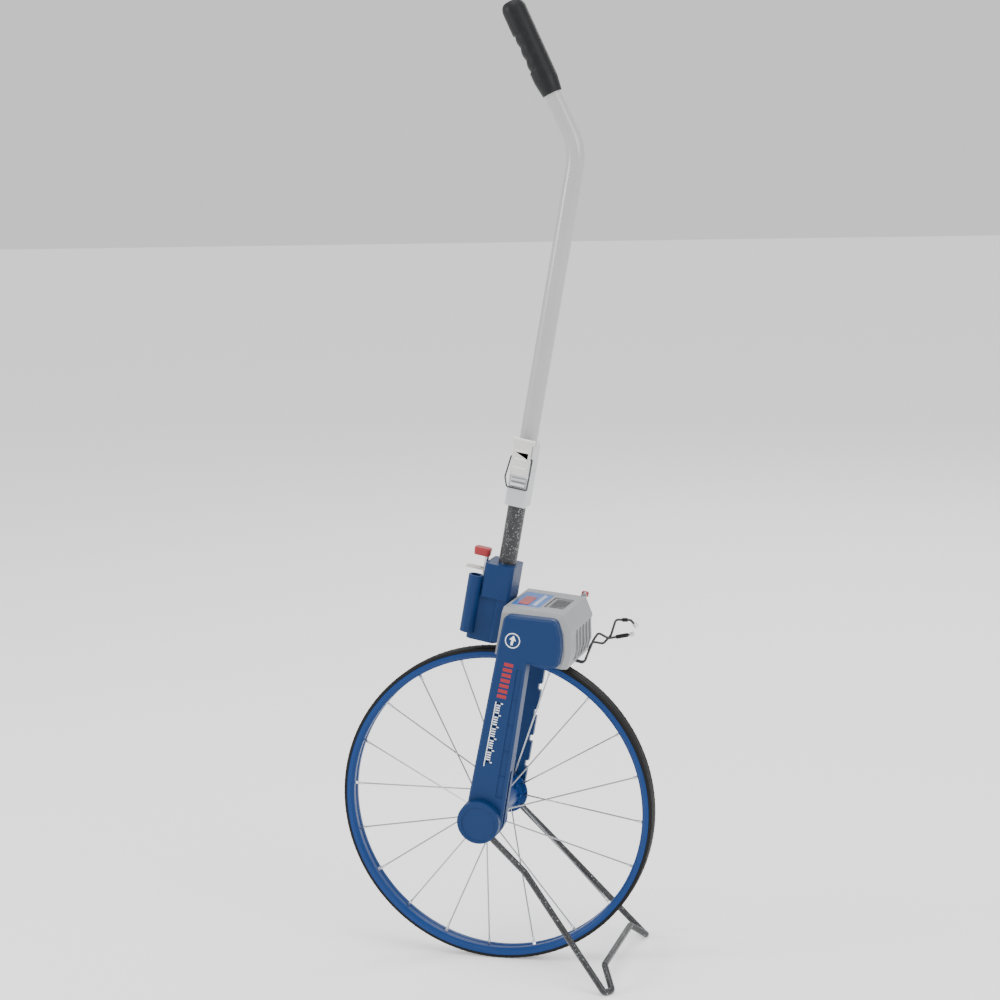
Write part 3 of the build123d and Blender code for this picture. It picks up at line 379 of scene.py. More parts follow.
class Finish(Enum):
    """Every finish on the object; the name is also the material's."""

    SHELL_BLUE = Moulded((0.0060, 0.030, 0.108), (0.0045, 0.025, 0.092))
    RIM_BLUE = Moulded((0.0075, 0.041, 0.165), (0.0060, 0.034, 0.140), roughness=0.34, grain=0.8)
    SHELL_GREY = Moulded((0.285, 0.290, 0.300), (0.245, 0.250, 0.260), roughness=0.46)
    PAD_BLACK = Moulded((0.011, 0.011, 0.012), (0.008, 0.008, 0.009), roughness=0.5)
    DRUM_BLACK = Moulded((0.008, 0.008, 0.009), (0.006, 0.006, 0.006), roughness=0.4)
    GEAR_WHITE = Moulded((0.58, 0.57, 0.52), (0.50, 0.48, 0.43), roughness=0.38)
    LEVER_PALE = Moulded((0.62, 0.61, 0.57), (0.54, 0.52, 0.48), roughness=0.4)
    KNOB_RED = Moulded((0.34, 0.040, 0.045), (0.28, 0.030, 0.034), roughness=0.36)
    LABEL_BLUE = Moulded((0.035, 0.13, 0.42), (0.028, 0.11, 0.37), roughness=0.30, scuffs=0.1)
    TUBE_BLACK = Hammertone()
    STAND_BLACK = Hammertone(dimple=1.9, cover=0.42)
    TUBE_GREY = Enamel((0.40, 0.405, 0.40), (0.35, 0.355, 0.35))
    JOINT_ALLOY = Metal((0.60, 0.61, 0.62), (0.48, 0.49, 0.51), roughness=0.42, metallic=0.6)
    LEVER_STEEL = Metal((0.80, 0.80, 0.78), (0.66, 0.65, 0.62), roughness=0.34, metallic=0.6)
    ZINC_PLATE = Metal((0.74, 0.75, 0.77), (0.58, 0.59, 0.62), roughness=0.34)
    STEEL_PLAIN = Metal((0.66, 0.67, 0.69), (0.50, 0.51, 0.53), roughness=0.30, draw=(1.0, 0.06, 1.0))
    SPOKE_STEEL = Metal((0.46, 0.47, 0.49), (0.34, 0.35, 0.37), roughness=0.26, marks=0.3)
    WIRE_DARK = Metal((0.10, 0.10, 0.105), (0.035, 0.035, 0.038), roughness=0.36, marks=0.9)
    TYRE_RUBBER = Rubber((0.006, 0.006, 0.0065), (0.011, 0.011, 0.011), pebble=0.7, depth=0.04)
    GRIP_RUBBER = Rubber((0.010, 0.0105, 0.0115), (0.016, 0.0165, 0.018), pebble=0.8, depth=0.05, roughness=0.5)
    BELT_RUBBER = Rubber((0.010, 0.010, 0.010), (0.018, 0.018, 0.017), pebble=0.5, depth=0.02)
    INK_WHITE = Ink((0.82, 0.83, 0.84))
    INK_RED = Ink((0.30, 0.010, 0.018))
    DIGIT_WHITE = Ink((0.85, 0.85, 0.82), (0.02, 0.02, 0.02))
    WINDOW_CLEAR = Clear()

    @property
    def material(self) -> bpy.types.Material:
        """The finish's material, made the first time it is asked for."""
        name = f"{self.name.lower()}_finish"
        return bpy.data.materials.get(name) or self.value.make(name)


# ---------------------------------------------------------------- places, meshes and pieces
@dataclass(frozen=True)
class Mast:
    """The leaning frame that the legs and the handle share."""

    centre: Vector
    lean: float

    @classmethod
    def from_frame(cls, joints: Sequence[dict[str, Any]]) -> Mast:
        """Read the axle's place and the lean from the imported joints."""
        found = {joint["name"]: joint for joint in joints}
        fold = Vector(found["handle_fold"]["axis"])
        return cls(Vector(found["wheel_spin"]["pos_m"]), math.atan2(fold.z, -fold.x))

    @property
    def across(self) -> Vector:
        """The direction of v."""
        return Vector((math.cos(self.lean), 0, -math.sin(self.lean)))

    @property
    def along(self) -> Vector:
        """The direction of u."""
        return Vector((math.sin(self.lean), 0, math.cos(self.lean)))

    def spot(self, v: float, u: float, y: float = 0.0) -> Vector:
        """A point given in millimetres of the mast, in the row's metres."""
        return self.centre + (self.across * v + self.along * u + Vector((0, y, 0))) * MM

    def basis(self, v: float, u: float, y: float, right: Vector, up: Vector) -> Matrix:
        """A placement whose local X runs right and local Y up, at a point of the mast."""
        out = right.cross(up)
        turned = Matrix((right, up, out)).transposed().to_4x4()
        return Matrix.Translation(self.spot(v, u, y)) @ turned


def smooth(mesh: bpy.types.Mesh, angle: float = 32.0) -> None:
    """Shade a mesh smooth, but keep edges sharper than angle degrees crisp."""
    mesh.polygons.foreach_set("use_smooth", [True] * len(mesh.polygons))
    mesh.set_sharp_from_angle(angle=math.radians(angle))


def new_piece(name: str, mesh: bpy.types.Mesh, finish: Finish | None = None) -> bpy.types.Object:
    """Link a mesh to the scene as a piece at the origin, in a finish if one is given."""
    piece = bpy.data.objects.new(name, mesh)
    bpy.context.scene.collection.objects.link(piece)
    if finish:
        mesh.materials.clear()
        mesh.materials.append(finish.material)
    return piece


def from_bmesh(name: str, bm: bmesh.types.BMesh, finish: Finish, angle: float = 32.0) -> bpy.types.Object:
    """Turn a finished bmesh into a smooth-shaded piece, and free it."""
    bmesh.ops.recalc_face_normals(bm, faces=bm.faces)
    mesh = bpy.data.meshes.new(name)
    bm.to_mesh(mesh)
    bm.free()
    smooth(mesh, angle)
    return new_piece(name, mesh, finish)


def settled(piece: bpy.types.Object) -> bpy.types.Object:
    """Replace a piece's mesh by what its modifiers make of it, and remove them."""
    bpy.context.view_layer.update()
    graph = bpy.context.evaluated_depsgraph_get()
    mesh = bpy.data.meshes.new_from_object(piece.evaluated_get(graph), preserve_all_data_layers=True,
                                           depsgraph=graph)
    piece.modifiers.clear()
    piece.data = mesh
    return piece


def finished(piece: bpy.types.Object, body: str, slot: str, *nodes: str) -> bpy.types.Object:
    """Hand a piece over to the frame.

    Args:
        piece: The finished piece.
        body: The body it rides on.
        slot: The record's material slot it stands for; not used.
        *nodes: The CAD nodes that it replaces.

    Returns:
        The piece.
    """
    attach(piece, body)
    if nodes:
        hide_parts(*nodes)
    log.info("%s rides on %s", piece.name, body)
    return piece


@dataclass
class Frame:
    """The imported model: its nodes, its record and the mast they stand on."""

    nodes: dict[str, bpy.types.Object]
    record: dict[str, Any]
    mast: Mast
    bodies: dict[str, str] = field(init=False)
    slots: dict[str, str] = field(init=False)

    def __post_init__(self) -> None:
        """Note which body each node rides on and which slot it takes its finish from."""
        groups = self.record["behaviour"]["bodies"]
        self.bodies = {node: body for body, members in groups.items() for node in members}
        self.slots = {part["node"]: part["material_slot"] for part in self.record["subparts"]}

    def dress(self, node: str, finish: Finish) -> None:
        """Give a CAD node that stays in view a better material."""
        mesh = self.nodes[node].data
        mesh.materials.clear()
        mesh.materials.append(finish.material)

    def soften(self, node: str, finish: Finish, width: float = 0.6, angle: float = 30.0,
               segments: int = 3) -> bpy.types.Object:
        """Replace a node by a merged copy with rounded edges.

        Args:
            node: The CAD node.
            finish: The finish of the copy.
            width: The width of the rounding, in millimetres; none if 0.
            angle: The smallest turn between two faces that is rounded, in degrees.
            segments: The faces across a rounding.

        Returns:
            The new piece, which rides where the node rode.
        """
        bm = bmesh.new()
        bm.from_mesh(self.nodes[node].data)
        bmesh.ops.remove_doubles(bm, verts=bm.verts, dist=0.004 * MM)
        bmesh.ops.dissolve_limit(bm, angle_limit=math.radians(0.6), verts=bm.verts, edges=bm.edges)
        mesh = bpy.data.meshes.new(f"{node}_finished")
        bm.to_mesh(mesh)
        bm.free()
        smooth(mesh, angle)
        piece = new_piece(f"{node}_finished", mesh, finish)
        if width:
            bevel = piece.modifiers.new("round", "BEVEL")
            bevel.limit_method = "ANGLE"
            bevel.angle_limit = math.radians(angle)
            bevel.width = width * MM
            bevel.segments = segments
            bevel.miter_outer = "MITER_ARC"
            weigh = piece.modifiers.new("weigh", "WEIGHTED_NORMAL")
            weigh.keep_sharp = True
            settled(piece)
        return finished(piece, self.bodies[node], self.slots[node], node)


# ---------------------------------------------------------------- geometry nodes
class Repeat:
    """A Geometry Nodes tree that repeats a shape round an axis, along a line, or both at once."""

    def __init__(self) -> None:
        """Build the tree with its named inputs."""
        self.tree = bpy.data.node_groups.new("repeat", "GeometryNodeTree")
        for name, kind in (("Shape", "Geometry"), ("Count", "Int"), ("Centre", "Vector"), ("Axis", "Vector"),
                           ("Start", "Float"), ("Turn", "Float"), ("Step", "Vector"), ("Material", "Material")):
            self.tree.interface.new_socket(name, in_out="INPUT", socket_type=f"NodeSocket{kind}")
        self.tree.interface.new_socket("Shape", in_out="OUTPUT", socket_type="NodeSocketGeometry")
        source = self.add("NodeGroupInput").outputs
        index = self.add("GeometryNodeInputIndex").outputs[0]
        shift = self.add("ShaderNodeVectorMath", {"operation": "SCALE"}, {0: source["Centre"], "Scale": -1.0})
        centred = self.add("GeometryNodeSetPosition", {},
                           {"Geometry": source["Shape"], "Offset": shift.outputs[0]})
        move = self.add("ShaderNodeVectorMath", {"operation": "SCALE"}, {0: source["Step"], "Scale": index})
        place = self.add("ShaderNodeVectorMath", {"operation": "ADD"}, {0: source["Centre"], 1: move.outputs[0]})
        points = self.add("GeometryNodePoints", {},
                          {"Count": source["Count"], "Position": place.outputs[0]})
        angle = Value(self.tree, index) * source["Turn"] + source["Start"]
        turn = self.add("FunctionNodeAxisAngleToRotation", {}, {"Axis": source["Axis"], "Angle": angle})
        copies = self.add("GeometryNodeInstanceOnPoints", {},
                          {"Points": points.outputs[0], "Instance": centred.outputs[0],
                           "Rotation": turn.outputs[0]})
        real = self.add("GeometryNodeRealizeInstances", {}, {"Geometry": copies.outputs[0]})
        dressed = self.add("GeometryNodeSetMaterial", {},
                           {"Geometry": real.outputs[0], "Material": source["Material"]})
        self.add("NodeGroupOutput", {}, {"Shape": dressed.outputs[0]})

    def add(self, kind: str, settings: dict[str, Any] | None = None,
            inputs: dict[str | int, Any] | None = None) -> bpy.types.Node:
        """Add any node to this tree, as add_node does."""
        return add_node(self.tree, kind, settings, inputs)

    def grow(self, piece: bpy.types.Object, finish: Finish, count: int, centre: Vector | None = None,
             axis: Vector | None = None, start: float = 0.0, turn: float = 0.0,
             step: Vector | None = None) -> bpy.types.Object:
        """Repeat a piece's own mesh.

        Args:
            piece: The piece that holds the one shape.
            finish: The finish of the copies.
            count: How many there are.
            centre: The point that the copies turn about.
            axis: The direction that they turn about.
            start: The first one's turn, in radians.
            turn: The turn from one to the next, in radians.
            step: The move from one to the next, in metres.

        Returns:
            The same piece, now with the whole pattern as a plain mesh.
        """
        values = {"Count": count, "Centre": centre or Vector(), "Axis": axis or Vector((0, 1, 0)),
                  "Start": start, "Turn": turn, "Step": step or Vector(), "Material": finish.material}
        modifier = piece.modifiers.new("repeat", "NODES")
        modifier.node_group = self.tree
        for item in self.tree.interface.items_tree:
            if item.in_out == "INPUT" and item.name in values:
                value = values[item.name]
                modifier[item.identifier] = list(value) if isinstance(value, Vector) else value
        return settled(piece)


# ---------------------------------------------------------------- shapes
def revolved(bm: bmesh.types.BMesh, profile: Sequence[Point], centre: Vector, steps: int) -> None:
    """Turn a closed profile of (y, radius) points, in millimetres, about a line along Y through centre."""
    rings = []
    for i in range(steps):
        angle = 2 * math.pi * i / steps
        out = Vector((math.cos(angle), 0, math.sin(angle)))
        rings.append([bm.verts.new(centre + (Vector((0, y, 0)) + out * r) * MM) for y, r in profile])
    for one, two in zip(rings, rings[1:] + rings[:1]):
        for k in range(len(profile)):
            after = (k + 1) % len(profile)
            bm.faces.new((one[k], one[after], two[after], two[k]))


def tube_along(bm: bmesh.types.BMesh, line: Sequence[Vector], radius: Callable[[int], float],
               sides: int = 12) -> None:
    """Sweep a closed round section along a line of points.

    Args:
        bm: The mesh that takes the faces.
        line: The points of the middle line, in metres.
        radius: The section's radius at point i, in millimetres.
        sides: The points round the section.
    """
    rings = []
    first = (line[1] - line[0]).normalized()
    normal = Vector((0, 1, 0)) if abs(first.y) < 0.9 else Vector((1, 0, 0))
    for i, point in enumerate(line):
        way = (line[min(i + 1, len(line) - 1)] - line[max(i - 1, 0)]).normalized()
        normal = (normal - way * normal.dot(way)).normalized()
        other = way.cross(normal)
        ring = []
        for k in range(sides):
            angle = 2 * math.pi * k / sides
            ring.append(bm.verts.new(point + (normal * math.cos(angle) + other * math.sin(angle)) * radius(i) * MM))
        rings.append(ring)
    for one, two in zip(rings, rings[1:]):
        for k in range(sides):
            after = (k + 1) % sides
            bm.faces.new((one[k], one[after], two[after], two[k]))
    bm.faces.new(rings[0][::-1])
    bm.faces.new(rings[-1])


def plate(bm: bmesh.types.BMesh, outline: Iterable[Point], thickness: float, place: Matrix) -> None:
    """Add a flat plate with the outline in millimetres, raised by thickness from the placement's XY plane."""
    low = [bm.verts.new(place @ Vector((x * MM, y * MM, -0.1 * MM))) for x, y in outline]
    high = [bm.verts.new(place @ Vector((x * MM, y * MM, thickness * MM))) for x, y in outline]
    bm.faces.new(low[::-1])
    bm.faces.new(high)
    for k in range(len(low)):
        after = (k + 1) % len(low)
        bm.faces.new((low[k], low[after], high[after], high[k]))


def rectangle(x: float, y: float, width: float, height: float, slant: float = 0.0) -> list[Point]:
    """The corners of a rectangle about (x, y), its top pushed sideways by slant."""
    w, h = width / 2, height / 2
    return [(x - w - slant, y - h), (x + w - slant, y - h), (x + w + slant, y + h), (x - w + slant, y + h)]


@dataclass
class Wheel:
    """The tyre, the moulded rim, the spokes with their nipples, and the hub."""

    frame: Frame
    repeat: Repeat
    radius: float = 199.0
    rim_outer: float = 194.7
    rim_inner: float = 185.7
    half_width: float = 11.5
    spokes: int = 20
    first_spoke: float = -4.8
    flange: float = 45.0
    flange_holes: float = 23.0
    wire: float = 0.95
    smoothness: int = 240

    def build(self) -> None:
        """Build and dress the whole wheel."""
        self.tyre()
        self.rim()
        self.spoke_set()
        self.hub()

    def ring(self, name: str, profile: Sequence[Point], finish: Finish, slot: str, *nodes: str) -> None:
        """Make one revolved piece of the wheel that replaces some nodes."""
        bm = bmesh.new()
        revolved(bm, profile, self.frame.mast.centre, self.smoothness)
        finished(from_bmesh(name, bm, finish), "wheel", slot, *nodes)

    def tyre(self) -> None:
        """The tyre: a flat crown with two grooves, round shoulders, and fine bars across the crown."""
        w, crown, seat = self.half_width, self.radius, self.rim_outer
        half = [(0, crown), (3.0, crown), (3.4, crown - 0.9), (4.4, crown - 0.9), (4.8, crown - 0.05),
                (w - 2.2, crown - 0.35), (w - 0.9, crown - 0.9), (w - 0.2, crown - 1.9), (w, crown - 3.0),
                (w, seat + 0.1), (w - 0.5, seat - 0.2), (w - 2.8, seat), (w - 2.8, seat - 2.2)]
        profile = half + [(-y, r) for y, r in half[:0:-1]]
        self.ring("tyre_moulded", profile, Finish.TYRE_RUBBER, "tyre_rubber", "tyre")
        bm = bmesh.new()
        for side in (-1, 1):
            place = Matrix.Translation(self.frame.mast.centre + Vector((0, side * 7.6 * MM, (crown - 0.75) * MM)))
            plate(bm, rectangle(0, 0, 1.5, 3.4, 0.5 * side), 0.62, place)
        bars = from_bmesh("tyre_bars", bm, Finish.TYRE_RUBBER)
        count = 150
        self.repeat.grow(bars, Finish.TYRE_RUBBER, count, self.frame.mast.centre, turn=2 * math.pi / count)
        finished(bars, "wheel", "tyre_rubber")

    def rim(self) -> None:
        """The rim: a box section with rolled lips, a step down each side and two ridges inside."""
        w, top, inner = self.half_width, self.rim_outer, self.rim_inner
        half = [(2.2, inner + 0.9), (2.8, inner + 0.2), (3.6, inner), (w - 3.0, inner + 0.1), (w - 2.0, inner + 0.9),
                (w - 1.5, inner + 2.3), (w - 0.6, inner + 3.0), (w, inner + 3.8), (w + 0.15, top - 2.0),
                (w, top - 0.5), (w - 0.6, top), (w - 2.2, top), (w - 2.6, top - 0.8), (w - 2.6, inner + 2.6)]
        profile = half + [(-y, r) for y, r in half[::-1]]
        self.ring("rim_moulded", profile, Finish.RIM_BLUE, "rim_blue", "rim")

    def spoke_set(self) -> None:
        """The spokes with headed elbows and the nipples with square shanks, alternately to each flange."""
        centre, pitch = self.frame.mast.centre, 2 * math.pi / self.spokes
        for side, first in ((1, 0), (-1, 1)):
            start = math.radians(-self.first_spoke) - first * pitch
            hub = centre + Vector((self.flange_holes, side * self.flange, 0)) * MM
            end = centre + Vector((self.rim_inner + 1.2, 0, 0)) * MM
            way = (end - hub).normalized()
            out = Vector((0, side * MM, 0))
            line = [hub + out * 5.6, hub + out * 2.0, hub + out * 0.8 + way * 0.5 * MM, hub + way * 2.6 * MM,
                    hub.lerp(end, 0.5), end - way * 5 * MM]
            bm = bmesh.new()
            tube_along(bm, line, lambda i: self.wire, 10)
            tube_along(bm, [hub + out * 5.0, hub + out * 5.3, hub + out * 5.8, hub + out * 6.2],
                       lambda i: (1.7, 1.9, 1.7, 0.9)[i], 12)
            name = "right" if side > 0 else "left"
            wires = from_bmesh(f"{name}_spokes", bm, Finish.SPOKE_STEEL)
            bm = bmesh.new()
            foot = end + way * 2.4 * MM
            tube_along(bm, [end - way * 9.5 * MM, end - way * 8.7 * MM, end - way * 3.2 * MM],
                       lambda i: (1.25, 1.75, 1.85)[i], 10)
            tube_along(bm, [end - way * 3.4 * MM, end - way * 3.0 * MM, foot], lambda i: (2.0, 2.2, 2.2)[i], 4)
            nipples = from_bmesh(f"{name}_nipples", bm, Finish.ZINC_PLATE)
            for piece, finish, slot, node in ((wires, Finish.SPOKE_STEEL, "spoke_steel", "spokes"),
                                              (nipples, Finish.ZINC_PLATE, "nipple_brass", "spoke_nipples")):
                self.repeat.grow(piece, finish, self.spokes // 2, centre, start=start, turn=2 * pitch)
                finished(piece, "wheel", slot, node)

    def hub(self) -> None:
        """The hub shell with rounded edges, its ribs, the bearings and the drive pulley."""
        frame, centre = self.frame, self.frame.mast.centre
        frame.soften("hub_shell", Finish.RIM_BLUE, 0.5)
        frame.dress("wheel_bearings", Finish.STEEL_PLAIN)
        frame.soften("hub_pulley", Finish.GEAR_WHITE, 0.2)
        bm = bmesh.new()
        rib = Matrix.Translation(centre) @ Matrix.Rotation(math.pi / 2, 4, "X")
        for y in (-38.0, 38.0):
            place = rib @ Matrix.Translation(Vector((0, 0, -y * MM)))
            plate(bm, [(16.5, -0.9), (20.5, -0.9), (20.5, 0.9), (16.5, 0.9)], 7.0, place)
        ribs = from_bmesh("hub_ribs", bm, Finish.RIM_BLUE)
        self.repeat.grow(ribs, Finish.RIM_BLUE, 10, centre, turn=math.pi / 5)
        finished(ribs, "wheel", "hub_black")


@dataclass
class Legs:
    """The two legs of the fork, the cover over the belt drive, its print, and what the axle holds."""

    frame: Frame
    repeat: Repeat
    face: float = -79.0
    emblem: tuple[float, float, float] = (2.0, 229.5, 9.3)
    red: tuple[float, float] = (157.5, 201.0)
    scale: tuple[float, float] = (70.0, 150.0)
    ink: float = 0.12

    def build(self) -> None:
        """Build and dress the fork."""
        frame = self.frame
        frame.soften("left_leg_cover", Finish.SHELL_BLUE, 1.0)
        frame.soften("left_leg", Finish.SHELL_BLUE, 0.5)
        frame.soften("right_leg", Finish.SHELL_BLUE, 0.8)
        frame.soften("left_hub_cap", Finish.SHELL_BLUE, 0.8)
        frame.soften("right_hub_cap", Finish.PAD_BLACK, 0.6)
        frame.soften("axle", Finish.STEEL_PLAIN, 0.5)
        frame.soften("axle_nut", Finish.ZINC_PLATE, 0.4)
        frame.dress("axle_spacer", Finish.ZINC_PLATE)
        frame.dress("drive_belt", Finish.BELT_RUBBER)
        self.print_face()
        self.screws()

    def place(self, v: float, u: float) -> Matrix:
        """A placement on the cover's face, its X running forward and its Y up the leg."""
        mast = self.frame.mast
        return mast.basis(v, u, self.face, mast.across, mast.along)

    def print_face(self) -> None:
        """A ringed arrow, a run of slanted red blocks and a white scale, printed down the leg."""
        v, u, radius = self.emblem
        bm = bmesh.new()
        tilt = math.radians(-6)
        steps = 48
        place = self.place(v, u) @ Matrix.Rotation(tilt, 4, "Z")
        ring = []
        for r, z in ((radius, -0.1), (radius, self.ink), (radius - 1.1, self.ink), (radius - 1.1, -0.1)):
            ring.append([bm.verts.new(place @ (Vector((math.cos(2 * math.pi * k / steps) * r,
                                                       math.sin(2 * math.pi * k / steps) * r, z)) * MM))
                         for k in range(steps)])
        for one, two in zip(ring, ring[1:] + ring[:1]):
            for k in range(steps):
                after = (k + 1) % steps
                bm.faces.new((one[k], one[after], two[after], two[k]))
        plate(bm, [(0, 6.4), (-4.2, 0.6), (-1.4, 0.6), (-1.4, -5.6), (1.4, -5.6), (1.4, 0.6), (4.2, 0.6)],
              self.ink, place)
        finished(from_bmesh("cover_emblem", bm, Finish.INK_WHITE), "frame", "label_print")

        bm = bmesh.new()
        plate(bm, rectangle(0, 0, 11.5, 4.2, 0.0), self.ink, self.place(2.4, self.red[1] - 2))
        blocks = from_bmesh("cover_red_blocks", bm, Finish.INK_RED)
        count = 7
        step = (self.frame.mast.along * -(self.red[1] - self.red[0]) / (count - 0.5)
                - self.frame.mast.across * 0.35) * MM
        self.repeat.grow(blocks, Finish.INK_RED, count, step=step)
        finished(blocks, "frame", "label_print")

        along, across = self.frame.mast.along, self.frame.mast.across
        low, high = self.scale
        for name, count, gap, width in (("long", 6, 15.0, 8.0), ("short", 26, 3.0, 5.2)):
            bm = bmesh.new()
            plate(bm, rectangle(0, 0, width, 1.3), self.ink, self.place(-4.2 + width / 2, high))
            ticks = from_bmesh(f"cover_{name}_ticks", bm, Finish.INK_WHITE)
            self.repeat.grow(ticks, Finish.INK_WHITE, count, step=(along * -gap - across * gap * 0.02) * MM)
            finished(ticks, "frame", "label_print")
        bm = bmesh.new()
        plate(bm, [(-5.2, high - low + 1.2), (-6.2, high - low + 1.2), (-7.8, -1.2), (-6.8, -1.2)], self.ink,
              self.place(0.4, low))
        finished(from_bmesh("cover_scale_line", bm, Finish.INK_WHITE), "frame", "label_print")

    def screws(self) -> None:
        """The cover's screws, along the inner face of the left leg."""
        mast = self.frame.mast
        bm = bmesh.new()
        place = mast.basis(3.0, 45.0, -55.95, -mast.across, mast.along)
        turned = [(2.8 * math.cos(math.pi * k / 10), 2.8 * math.sin(math.pi * k / 10)) for k in range(20)]
        plate(bm, turned, 0.9, place)
        head = from_bmesh("leg_screws", bm, Finish.ZINC_PLATE)
        self.repeat.grow(head, Finish.ZINC_PLATE, 4, step=mast.along * 43 * MM)
        finished(head, "frame", "zinc_plate")


@dataclass
class Counter:
    """The housing between the heads, its label and window, the drums and the drive inside, and the reset."""

    frame: Frame
    repeat: Repeat
    drum_radius: float = 11.0
    drum_pitch: float = 10.3
    drum_start: float = -26.5
    drums: int = 5
    digit_height: float = 5.6
    window_size: tuple[float, float] = (23.0, 56.0)
    bead: float = 1.4
    bead_height: float = 0.25

    def build(self) -> None:
        """Build and dress the counter."""
        frame = self.frame
        frame.soften("counter_housing", Finish.SHELL_GREY, 1.2)
        frame.soften("counter_base", Finish.SHELL_GREY, 0.4)
        frame.dress("counter_window", Finish.WINDOW_CLEAR)
        frame.soften("label_plate", Finish.LABEL_BLUE, 0.2)
        frame.dress("counter_frame", Finish.ZINC_PLATE)
        frame.dress("base_screws", Finish.ZINC_PLATE)
        frame.dress("drum_shaft", Finish.STEEL_PLAIN)
        frame.dress("transfer_shaft", Finish.STEEL_PLAIN)
        for node in ("drum_gear", "transfer_gear", "transfer_pulley"):
            frame.dress(node, Finish.GEAR_WHITE)
        frame.soften("reset_lever", Finish.ZINC_PLATE, 0.25)
        frame.soften("reset_pivot", Finish.ZINC_PLATE, 0.3)
        frame.soften("reset_knob", Finish.KNOB_RED, 0.0)
        self.digits()
        self.print_label()
        self.window_trim()

    def window_trim(self) -> None:
        """A dark bead round the counter's window, lying on the slope the label lies on."""
        low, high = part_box("counter_window")
        place, bead = self.label_place(0, 0), self.bead
        offset = (low + high) / 2 - place.translation
        along, y = offset.dot(place.to_3x3() @ Vector((1, 0, 0))) / MM, offset.y / MM
        length, width = self.window_size
        bm = bmesh.new()
        for sign in (-1, 1):
            ends = rectangle(along + sign * (length + bead) / 2, y, bead, width + 2 * bead)
            sides = rectangle(along, y + sign * (width + bead) / 2, length, bead)
            plate(bm, ends, self.bead_height, place)
            plate(bm, sides, self.bead_height, place)
        finished(from_bmesh("window_bead", bm, Finish.PAD_BLACK), "frame", "label_print")

    def digits(self) -> None:
        """Ten raised figures round each drum, reading upright from behind the wheel."""
        centre = {joint["child"]: Vector(joint["pos_m"]) for joint in self.frame.record["behaviour"]["joints"]
                  if "drum" in joint["name"]}
        low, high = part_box("counter_window")
        up = ((low + high) / 2 - centre["drum_1"])
        up.y = 0
        up.normalize()
        forward = Vector((0, 1, 0)).cross(up)
        for number in range(1, self.drums + 1):
            node = f"digit_drum_{number}"
            self.frame.soften(node, Finish.DRUM_BLACK, 0.3)
            middle_y = (self.drum_start + self.drum_pitch * (self.drums - number) + self.drum_pitch / 2 - 0.4) * MM
            bm = bmesh.new()
            for digit in range(10):
                self.add_digit(bm, str(digit), centre[f"drum_{number}"], middle_y, up, forward, digit * math.pi / 5)
            finished(from_bmesh(f"drum_{number}_figures", bm, Finish.DIGIT_WHITE), f"drum_{number}", "label_print")
        log.info("the figures stand %.1f mm high", self.digit_height)

    def add_digit(self, bm: bmesh.types.BMesh, text: str, centre: Vector, middle_y: float, up: Vector,
                  forward: Vector, angle: float) -> None:
        """Wrap one figure on a drum.

        Args:
            bm: The mesh that takes it.
            text: The figure.
            centre: A point on the drum's axis.
            middle_y: The middle of the drum's width.
            up: The direction from the axis to the window.
            forward: The direction of travel on top of the drum.
            angle: How far round from the window the figure stands, in radians.
        """
        curve = bpy.data.curves.new(f"figure_{text}", "FONT")
        curve.body = text
        curve.size = self.digit_height * 1.42 * MM
        curve.align_x = "CENTER"
        curve.align_y = "CENTER"
        curve.resolution_u = 4
        holder = bpy.data.objects.new("figure", curve)
        bpy.context.scene.collection.objects.link(holder)
        bpy.context.view_layer.update()
        mesh = bpy.data.meshes.new_from_object(holder.evaluated_get(bpy.context.evaluated_depsgraph_get()))
        bpy.data.objects.remove(holder)
        part = bmesh.new()
        part.from_mesh(mesh)
        bmesh.ops.remove_doubles(part, verts=part.verts, dist=0.002 * MM)
        for _ in range(2):
            long_edges = [edge for edge in part.edges if edge.calc_length() > 1.1 * MM]
            bmesh.ops.subdivide_edges(part, edges=long_edges, cuts=1)
            bmesh.ops.triangulate(part, faces=part.faces)
        seen: dict[bmesh.types.BMVert, bmesh.types.BMVert] = {}
        radius = (self.drum_radius + 0.08) * MM
        for vert in part.verts:
            round_by = angle + vert.co.y / radius
            out = up * math.cos(round_by) + forward * math.sin(round_by)
            point = centre + out * radius
            point.y = middle_y - vert.co.x
            seen[vert] = bm.verts.new(point)
        for face in part.faces:
            bm.faces.new([seen[vert] for vert in face.verts])
        part.free()

    def label_place(self, along: float, y: float) -> Matrix:
        """A placement on the label plate, its X running down the slope and its Y along the axle."""
        low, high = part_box("label_plate")
        mast = self.frame.mast
        corners = [v.co for v in self.frame.nodes["label_plate"].data.vertices]
        front = max(corners, key=lambda p: p.dot(mast.across))
        back = min(corners, key=lambda p: p.dot(mast.across))
        slope = Vector((front.x - back.x, 0, front.z - back.z)).normalized()
        normal = slope.cross(Vector((0, 1, 0)))
        top = max(corners, key=lambda p: p.dot(normal))
        middle = (low + high) / 2
        middle += normal * (top - middle).dot(normal)
        turned = Matrix((slope, Vector((0, 1, 0)), normal)).transposed().to_4x4()
        return Matrix.Translation(middle) @ turned @ Matrix.Translation(Vector((along, y, 0)) * MM)

    def print_label(self) -> None:
        """A red bar and a row of white ticks on the label plate."""
        bm = bmesh.new()
        plate(bm, rectangle(-4.5, -9.0, 13.0, 44.0), 0.1, self.label_place(0, 0))
        finished(from_bmesh("label_red_bar", bm, Finish.INK_RED), "frame", "label_print")
        bm = bmesh.new()
        plate(bm, rectangle(0, 0, 4.6, 1.2), 0.1, self.label_place(9.0, -28.0))
        ticks = from_bmesh("label_ticks", bm, Finish.INK_WHITE)
        self.repeat.grow(ticks, Finish.INK_WHITE, 17, step=Vector((0, 3.5 * MM, 0)))
        finished(ticks, "frame", "label_print")


